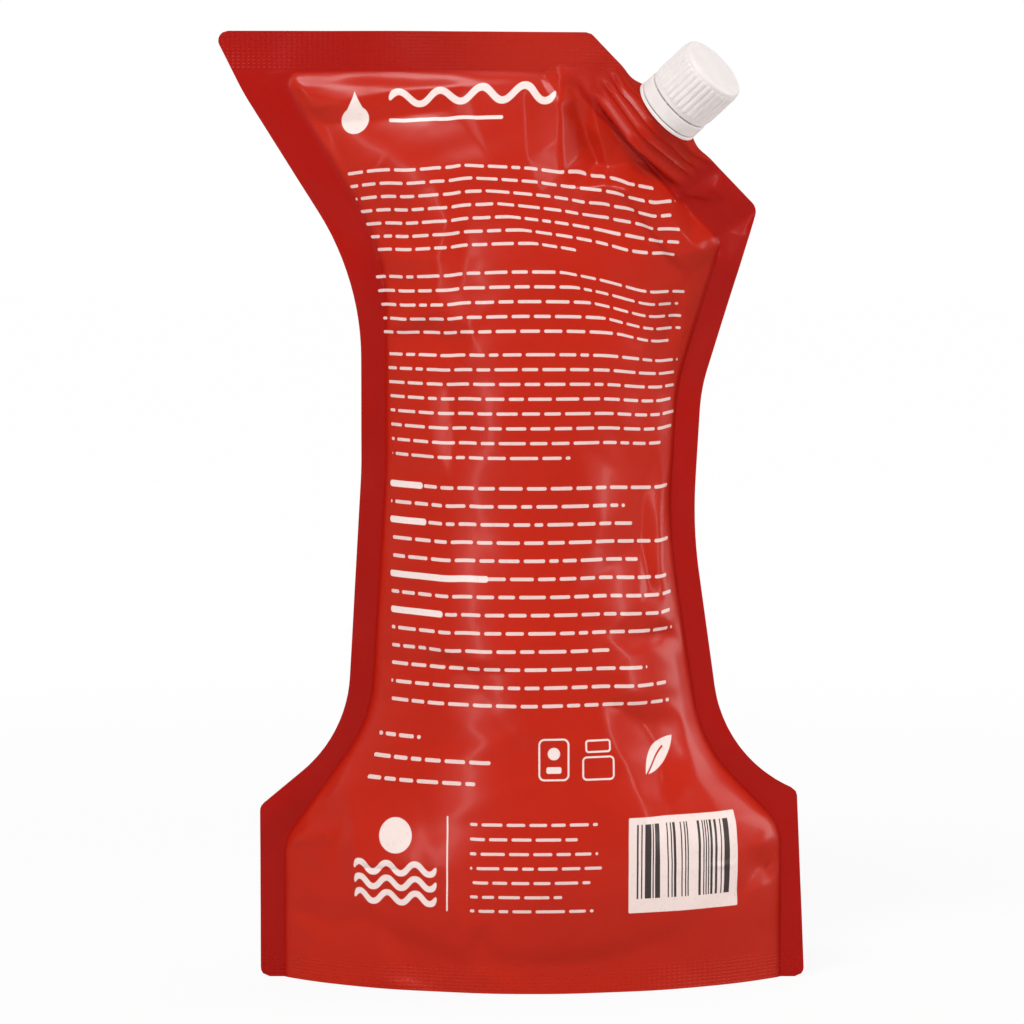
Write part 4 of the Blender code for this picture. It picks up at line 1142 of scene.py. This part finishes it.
def word_bars(finish, u, v, block):
    """Rows of rounded bars with the rhythm of words.

    A row's number picks a stretch of a line of uneven cells; within a cell the bar is the set of
    points nearer than half a bar height to the row's centre line, kept short of the cell's ends.
    """
    start, drift, right, top, pitch, rows, bar, last, least = block
    left = (top - v) * drift + start
    drop = (top + 0.5 * pitch - v) / pitch
    row = drop.floor()
    off = (drop - row - 0.5) * pitch
    cells = finish.node(
        "ShaderNodeTexVoronoi",
        {"voronoi_dimensions": "1D", "feature": "DISTANCE_TO_EDGE"},
        {"W": u / WORD_LENGTH + row * 7.37 + top * 0.31, "Scale": 1.0, "Randomness": 1.0},
    )
    luck = finish.node("ShaderNodeTexWhiteNoise", {"noise_dimensions": "1D"}, {"W": row + top})
    short = (row > rows - 1.5) * (1 - last)
    ragged = 1 - luck.power(3.0)
    share = 1 - short - (1 - ragged) * (1 - least)
    end = left + (right - left) * share
    inset = (cells * WORD_LENGTH - WORD_GAP).least(u - left).least(end - u)
    past = (0.5 * bar - inset).most(0)
    away = (past * past + off * off).root()
    inside = (row > -0.5) * (row < rows - 0.5) * (inset > 0)
    return (0.5 * bar - away).ramp(-0.06, 0.12) * inside


def box_distance(u, v, left, right, low, high, corner):
    """Signed distance to a rounded rectangle, less than nil inside."""
    du = (u - 0.5 * (left + right)).size() - (0.5 * (right - left) - corner)
    dv = (v - 0.5 * (low + high)).size() - (0.5 * (high - low) - corner)
    ou, ov = du.most(0), dv.most(0)
    return (ou * ou + ov * ov).root() + du.most(dv).least(0) - corner


def disc_distance(u, v, cu, cv, radius):
    du, dv = u - cu, v - cv
    return (du * du + dv * dv).root() - radius


def fill_in(distance):
    return distance.ramp(-PRINT_BLUR, PRINT_BLUR, 1.0, 0.0)


def outline(distance, half_width):
    return fill_in(distance.size() - half_width)


def drop_ornament(u, v, cu, cv, radius):
    """Falling drop: a disc with a pointed cap, whose half width shrinks towards its tip."""
    disc = disc_distance(u, v, cu, cv, radius)
    rise = (v - cv) / (2.1 * radius)
    half = radius * 0.98 * (1 - rise).most(0) * (1 - rise * rise * 0.35)
    cone = (u - cu).size() - half
    tip = cone.most(cv + 0.25 * radius - v).most(v - (cv + 2.1 * radius))
    return disc.least(tip)


def wave_line(u, v, left, right, level, length, rise, half_width):
    """Ribbon round a sine curve, with its thickness measured square to the curve."""
    k = 2 * math.pi / length
    phase = (u - left) * k
    slope = (phase + 0.5 * math.pi).wave() * (rise * k)
    away = (v - level - phase.wave() * rise).size() / (slope * slope + 1).root()
    ends = (u - left).least(right - u)
    past = (half_width - ends).most(0)
    return (away * away + past * past).root() - half_width


def print_masks(finish, u, v):
    """White print and dark print, as masks from 0 to 1."""
    white = word_bars(finish, u, v, TEXT_BLOCKS[0])
    for block in TEXT_BLOCKS[1:]:
        white = white.most(word_bars(finish, u, v, block))
    # ornament at the top: a drop, a wave and a straight line
    white = white * TEXT_INK
    white = white.most(fill_in(drop_ornament(u, v, -55.0, 271.8, 4.3)))
    white = white.most(fill_in(wave_line(u, v, -44.5, 8.0, 277.6, 13.1, 2.0, 1.05)))
    white = white.most(fill_in(wave_line(u, v, -44.5, -8.0, 270.6, 12.2, 0.0, 0.55)))
    # heading bars at the starts of the lower rows
    for level, length in ((155.8, 13.5), (144.7, 15.0), (128.0, 36.0), (116.9, 21.0)):
        bold = box_distance(u, v, -49.8, -49.8 + length, level - 1.0, level + 1.0, 0.9)
        white = white.most(fill_in(bold))
    # two outlined signs, a jar and a box
    white = white.most(outline(box_distance(u, v, 2.0, 11.0, 66.6, 79.0, 1.6), 0.28))
    white = white.most(fill_in(disc_distance(u, v, 6.5, 74.6, 1.9)))
    white = white.most(fill_in(box_distance(u, v, 4.2, 8.8, 68.6, 70.6, 0.6)))
    white = white.most(outline(box_distance(u, v, 15.6, 25.4, 66.6, 73.4, 1.2), 0.28))
    white = white.most(outline(box_distance(u, v, 16.6, 24.4, 75.0, 78.4, 0.8), 0.28))
    # leaf sign: two discs' common part, with its midrib cut out
    leaf = disc_distance(u, v, 37.2, 78.2, 11.2).most(disc_distance(u, v, 48.6, 66.8, 11.2))
    rib = ((u - 42.9) * 0.74 - (v - 72.5) * 0.67).size()
    cut = fill_in(rib - 0.34) * fill_in((u - 42.9) * 0.67 + (v - 72.5) * 0.74 - 3.4)
    white = white.most(fill_in(leaf) * (1 - cut))
    # maker's corner left generic: a disc over three waves
    white = white.most(fill_in(disc_distance(u, v, -43.6, 48.6, 5.4)))
    for level in (38.6, 34.0, 29.4):
        white = white.most(fill_in(wave_line(u, v, -58.0, -30.0, level, 9.33, 1.5, 0.95)))
    white = white.most(fill_in(box_distance(u, v, -26.9, -26.4, 26.0, 55.2, 0.2)))
    # label panel with plain upright stripes
    panel_mask = fill_in(box_distance(u, v, 30.0, 68.0, 25.0, 54.5, 0.4))
    white = white.most(panel_mask)
    pick = finish.node("ShaderNodeTexWhiteNoise", {"noise_dimensions": "1D"}, {"W": (u / 0.42).floor()})
    bars = (pick > 0.48) * fill_in(box_distance(u, v, 32.6, 65.2, 29.4, 52.4, 0.1))
    return white, bars * panel_mask


# Share of the painted shade that deepens the red in a weld, and pitches of the pattern that is pressed into
# the seals
WELD_SHADING = 0.85
SEAL_ROW = 0.0011
SEAL_COLUMN = 0.0016


def edge_finish(name):
    """Cut edge of the laminate: dull red with fine fibres from the knife."""
    edge = Finish(name)
    spot = edge.spot()
    fibre = edge.noise(spot, 1500.0, 3.0)
    base = edge.mix(fibre.ramp(0.35, 0.70), RED, tuple(0.86 * c for c in RED[:3]) + (1.0,))
    normal = edge.bump(fibre * 0.00001)
    return edge.shade(Base_Color=base, Roughness=0.60, Normal=normal, Specular_IOR_Level=0.02, IOR=1.5)


def film_finish(name, printed, foot=False):
    """Glossy laminate: red ink under clear film, embossed where it is welded, with painted shade that deepens
    the red there.
    """
    film = Finish(name)
    spot = film.spot()
    x, _, z = film.split(spot)
    u, v, weld_and_shade = film.attribute("place")
    cloud = film.noise(spot, 22.0, 2.0)
    fine = film.noise(spot, 900.0, 2.0)
    base = film.mix(cloud.ramp(0.35, 0.70), RED, tuple(0.93 * c for c in RED[:3]) + (1.0,))
    # Painted shade: the welds' red is darkened towards a deeper red, standing for the dark room mirrored in
    # them
    base = film.mix(weld_and_shade * WELD_SHADING, base, WELD_SHADE_RED)
    gloss = 0.27 + 0.06 * cloud + weld_and_shade * 0.05
    grain = film.noise(spot, 120.0, 4.0, 0.6)
    height = grain * 0.00004 + fine * 0.0000015
    if not foot:
        ribs = (z * (2 * math.pi / SEAL_ROW)).wave() * 0.5 + 0.5
        cross = (x * (2 * math.pi / SEAL_COLUMN)).wave() * 0.5 + 0.5
        seal = z.ramp(0.0065, 0.0095, 1.0, 0.0).most(z.ramp(FILL_TOP, FILL_TOP + 0.0006) * weld_and_shade)
        height = height + ribs * cross * seal * 0.00009
    if printed:
        mu, mv = u * 1000.0, v * 1000.0
        upper = z.ramp(*DROOP_SPAN)
        droop = upper * (mu * mu) * DROOP
        right = upper * (mu - DROOP_RIGHT_FROM).most(0).power(2.0) * DROOP_RIGHT
        white, dark = print_masks(film, mu, mv + droop + right)
        worn = fine.ramp(0.25, 0.45, 0.86, 0.97)
        base = film.mix(white * worn, base, INK_WHITE)
        base = film.mix(dark * 0.95, base, INK_DARK)
        gloss = gloss + white * 0.05
        height = height + white * 0.000006
    normal = film.bump(height)
    return film.shade(
        Base_Color=base, Roughness=gloss, Normal=normal, Coat_Weight=0.06, Coat_Roughness=0.12,
        Specular_IOR_Level=0.15, IOR=1.5,
    )


def plastic_finish(name, colour, grain, roughness):
    """Moulded polyethylene: faint flow clouding, fine tool texture and a waxy, soft gloss."""
    plastic = Finish(name)
    spot = plastic.spot()
    cloud = plastic.noise(spot, 160.0, 3.0)
    fine = plastic.noise(spot, 2600.0, 3.0, 0.6)
    shade = tuple(0.955 * c for c in colour[:3]) + (1.0,)
    base = plastic.mix(cloud.ramp(0.3, 0.7), colour, shade)
    height = fine * grain + cloud * 0.000006
    return plastic.shade(
        Base_Color=base,
        Roughness=roughness + 0.08 * cloud,
        Normal=plastic.bump(height),
        Subsurface_Weight=0.15,
        Subsurface_Radius=(0.0016, 0.0011, 0.0009),
        Subsurface_Scale=1.0,
        IOR=1.5,
    )


def foam_finish():
    """Closed-cell foam: small bright cells with darker walls, quite dull."""
    foam = Finish("wad_foam")
    spot = foam.spot()
    cells = foam.node(
        "ShaderNodeTexVoronoi",
        {"voronoi_dimensions": "3D", "feature": "DISTANCE_TO_EDGE"},
        {"Vector": spot, "Scale": 3200.0},
    )
    wall = cells.ramp(0.02, 0.18, 1.0, 0.0)
    shade = tuple(0.88 * c for c in FOAM_WHITE[:3]) + (1.0,)
    normal = foam.bump(cells.ramp(0.0, 0.4) * 0.00003)
    return foam.shade(Base_Color=foam.mix(wall, FOAM_WHITE, shade), Roughness=0.72, Normal=normal)


# Studio

ROOM_FRONT = 0.18
ROOM_BACK = 0.70
MIRROR_DIMMING = 0.85


def floor_finish():
    """Pale floor with the object's shadow in it. It glows white to the camera farther away, and
    is dark where it is mirrored, so that the film stays red."""
    floor = Finish("studio_floor")
    spot = floor.spot()
    x, y, _ = floor.split(spot)
    tone = floor.noise(spot, 6.0, 2.0)
    base = floor.mix(tone.ramp(0.3, 0.7), (0.80, 0.80, 0.80, 1.0), (0.79, 0.79, 0.79, 1.0))
    body = floor.node("ShaderNodeBsdfDiffuse", values={"Color": base})
    glow = floor.node("ShaderNodeEmission", values={"Color": (1.0, 1.0, 1.0, 1.0), "Strength": 1.0})
    seen = floor.node("ShaderNodeLightPath", out="Is Camera Ray")
    mirrored = floor.node("ShaderNodeLightPath", out="Is Glossy Ray")
    away = (x * x + y * y).root()
    share = seen * away.ramp(0.25, 0.80, 0.90, 0.99)
    dim = floor.node("ShaderNodeBsdfDiffuse", values={"Color": (0.10, 0.10, 0.10, 1.0)})
    lower = floor.node("ShaderNodeMixShader", values=(mirrored * MIRROR_DIMMING, body, dim))
    mixed = floor.node("ShaderNodeMixShader", values=(share, lower, glow))
    floor.tree.links.new(mixed.socket, floor.out.inputs["Surface"])
    return floor.material


def build_floor():
    span = np.linspace(-3.0, 3.0, 7)
    gx, gy = np.meshgrid(span, span)
    points = np.stack([gx, gy, 0 * gx - 0.0002], axis=-1)
    index = np.arange(gx.size).reshape(gx.shape)
    floor = put_mesh("studio_floor", points, grid_faces(index).tolist(), (floor_finish(),))
    return floor


def build_world():
    """White to the camera. For the light it is a dim room in front, growing brighter behind."""
    world = bpy.data.worlds.new("studio_sky")
    world.use_nodes = True
    tree = world.node_tree
    tree.nodes.clear()
    out = tree.nodes.new("ShaderNodeOutputWorld")
    path = tree.nodes.new("ShaderNodeLightPath")
    most = tree.nodes.new("ShaderNodeMath")
    most.operation = "MAXIMUM"
    tree.links.new(path.outputs["Is Camera Ray"], most.inputs[0])
    tree.links.new(path.outputs["Is Transmission Ray"], most.inputs[1])
    seen = tree.nodes.new("ShaderNodeBackground")
    seen.inputs["Color"].default_value = (1, 1, 1, 1)
    seen.inputs["Strength"].default_value = 1.0
    around = tree.nodes.new("ShaderNodeTexCoord")
    parts = tree.nodes.new("ShaderNodeSeparateXYZ")
    tree.links.new(around.outputs["Generated"], parts.inputs[0])
    fade = tree.nodes.new("ShaderNodeMapRange")
    fade.interpolation_type = "SMOOTHSTEP"
    for key, value in (("From Min", -0.6), ("From Max", 0.9), ("To Min", ROOM_FRONT), ("To Max", ROOM_BACK)):
        fade.inputs[key].default_value = value
    tree.links.new(parts.outputs["Y"], fade.inputs["Value"])
    sky = tree.nodes.new("ShaderNodeBackground")
    sky.inputs["Color"].default_value = (1, 1, 1, 1)
    tree.links.new(fade.outputs[0], sky.inputs["Strength"])
    mix = tree.nodes.new("ShaderNodeMixShader")
    tree.links.new(most.outputs[0], mix.inputs[0])
    tree.links.new(sky.outputs[0], mix.inputs[1])
    tree.links.new(seen.outputs[0], mix.inputs[2])
    tree.links.new(mix.outputs[0], out.inputs["Surface"])
    bpy.context.scene.world = world


# Lamps as name, place, width, height and watts. All of them face the pouch's middle.
LAMPS = (
    ("front_soft", (-0.55, -1.4, 1.9), 0.9, 0.7, 37),
    ("strip_left", (-1.05, -1.65, 0.45), 0.14, 0.9, 5),
    ("strip_right", (1.55, -0.85, 0.45), 0.14, 0.9, 6),
    ("side_right", (1.5, 0.35, 0.5), 0.5, 1.0, 8),
)
LAMP_TARGET = (0, 0, 0.15)


def add_lamp(name, place, width, height, power):
    lamp = bpy.data.lights.new(name, "AREA")
    lamp.shape = "RECTANGLE"
    lamp.size = width
    lamp.size_y = height
    lamp.energy = power
    holder = bpy.data.objects.new(name, lamp)
    holder.location = place
    holder.rotation_euler = (Vector(LAMP_TARGET) - Vector(place)).to_track_quat("-Z", "Y").to_euler()
    bpy.context.scene.collection.objects.link(holder)


CAMERA_DISTANCE = 2.0
CAMERA_RISE = math.radians(6.0)
CAMERA_TARGET = (-0.0064, 0.0, 0.1462)
METRES_PER_PIXEL = 0.000311
IMAGE = 1024
SENSOR = 36.0


def build_camera():
    """Level with the pouch's middle, six degrees above it, with the photograph's long lens."""
    camera = bpy.data.cameras.new("photo_camera")
    camera.sensor_width = SENSOR
    camera.sensor_fit = "HORIZONTAL"
    camera.lens = SENSOR * CAMERA_DISTANCE / (METRES_PER_PIXEL * IMAGE)
    camera.clip_end = 50
    holder = bpy.data.objects.new("photo_camera", camera)
    back = Vector((0, -math.cos(CAMERA_RISE), math.sin(CAMERA_RISE))) * CAMERA_DISTANCE
    target = Vector(CAMERA_TARGET)
    holder.location = target + back
    holder.rotation_euler = (-back).to_track_quat("-Z", "Y").to_euler()
    bpy.context.scene.collection.objects.link(holder)
    bpy.context.scene.camera = holder


def main():
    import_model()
    printed = film_finish("film_printed", True)
    plain = film_finish("film_plain", False)
    foot = film_finish("film_foot", False, foot=True)
    edge = edge_finish("film_edge")
    cap_white = plastic_finish("cap_plastic", PLASTIC_WHITE, 0.0000006, 0.36)
    spout_white = plastic_finish("spout_plastic", PLASTIC_WHITE, 0.0000005, 0.34)

    film = build_film(printed, plain, foot, edge)
    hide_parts("pouch")
    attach(film, "pack")

    spout = build_spout(spout_white)
    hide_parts("spout")
    boat = build_boat(spout_white)
    ring = build_ring(cap_white)
    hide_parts("tamper_ring")
    bridges = build_bridges(cap_white)
    for piece in (spout, boat):
        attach(piece, "pack")
    for piece in (ring, bridges):
        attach(piece, "pack")

    cap = build_cap(cap_white)
    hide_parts("cap")
    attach(cap, "cap")
    wad = build_wad(foam_finish())
    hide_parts("cap_wad")
    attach(wad, "wad")

    build_floor()
    build_world()
    for lamp in LAMPS:
        add_lamp(*lamp)
    build_camera()
    bpy.context.scene.view_settings.view_transform = "Standard"


main()
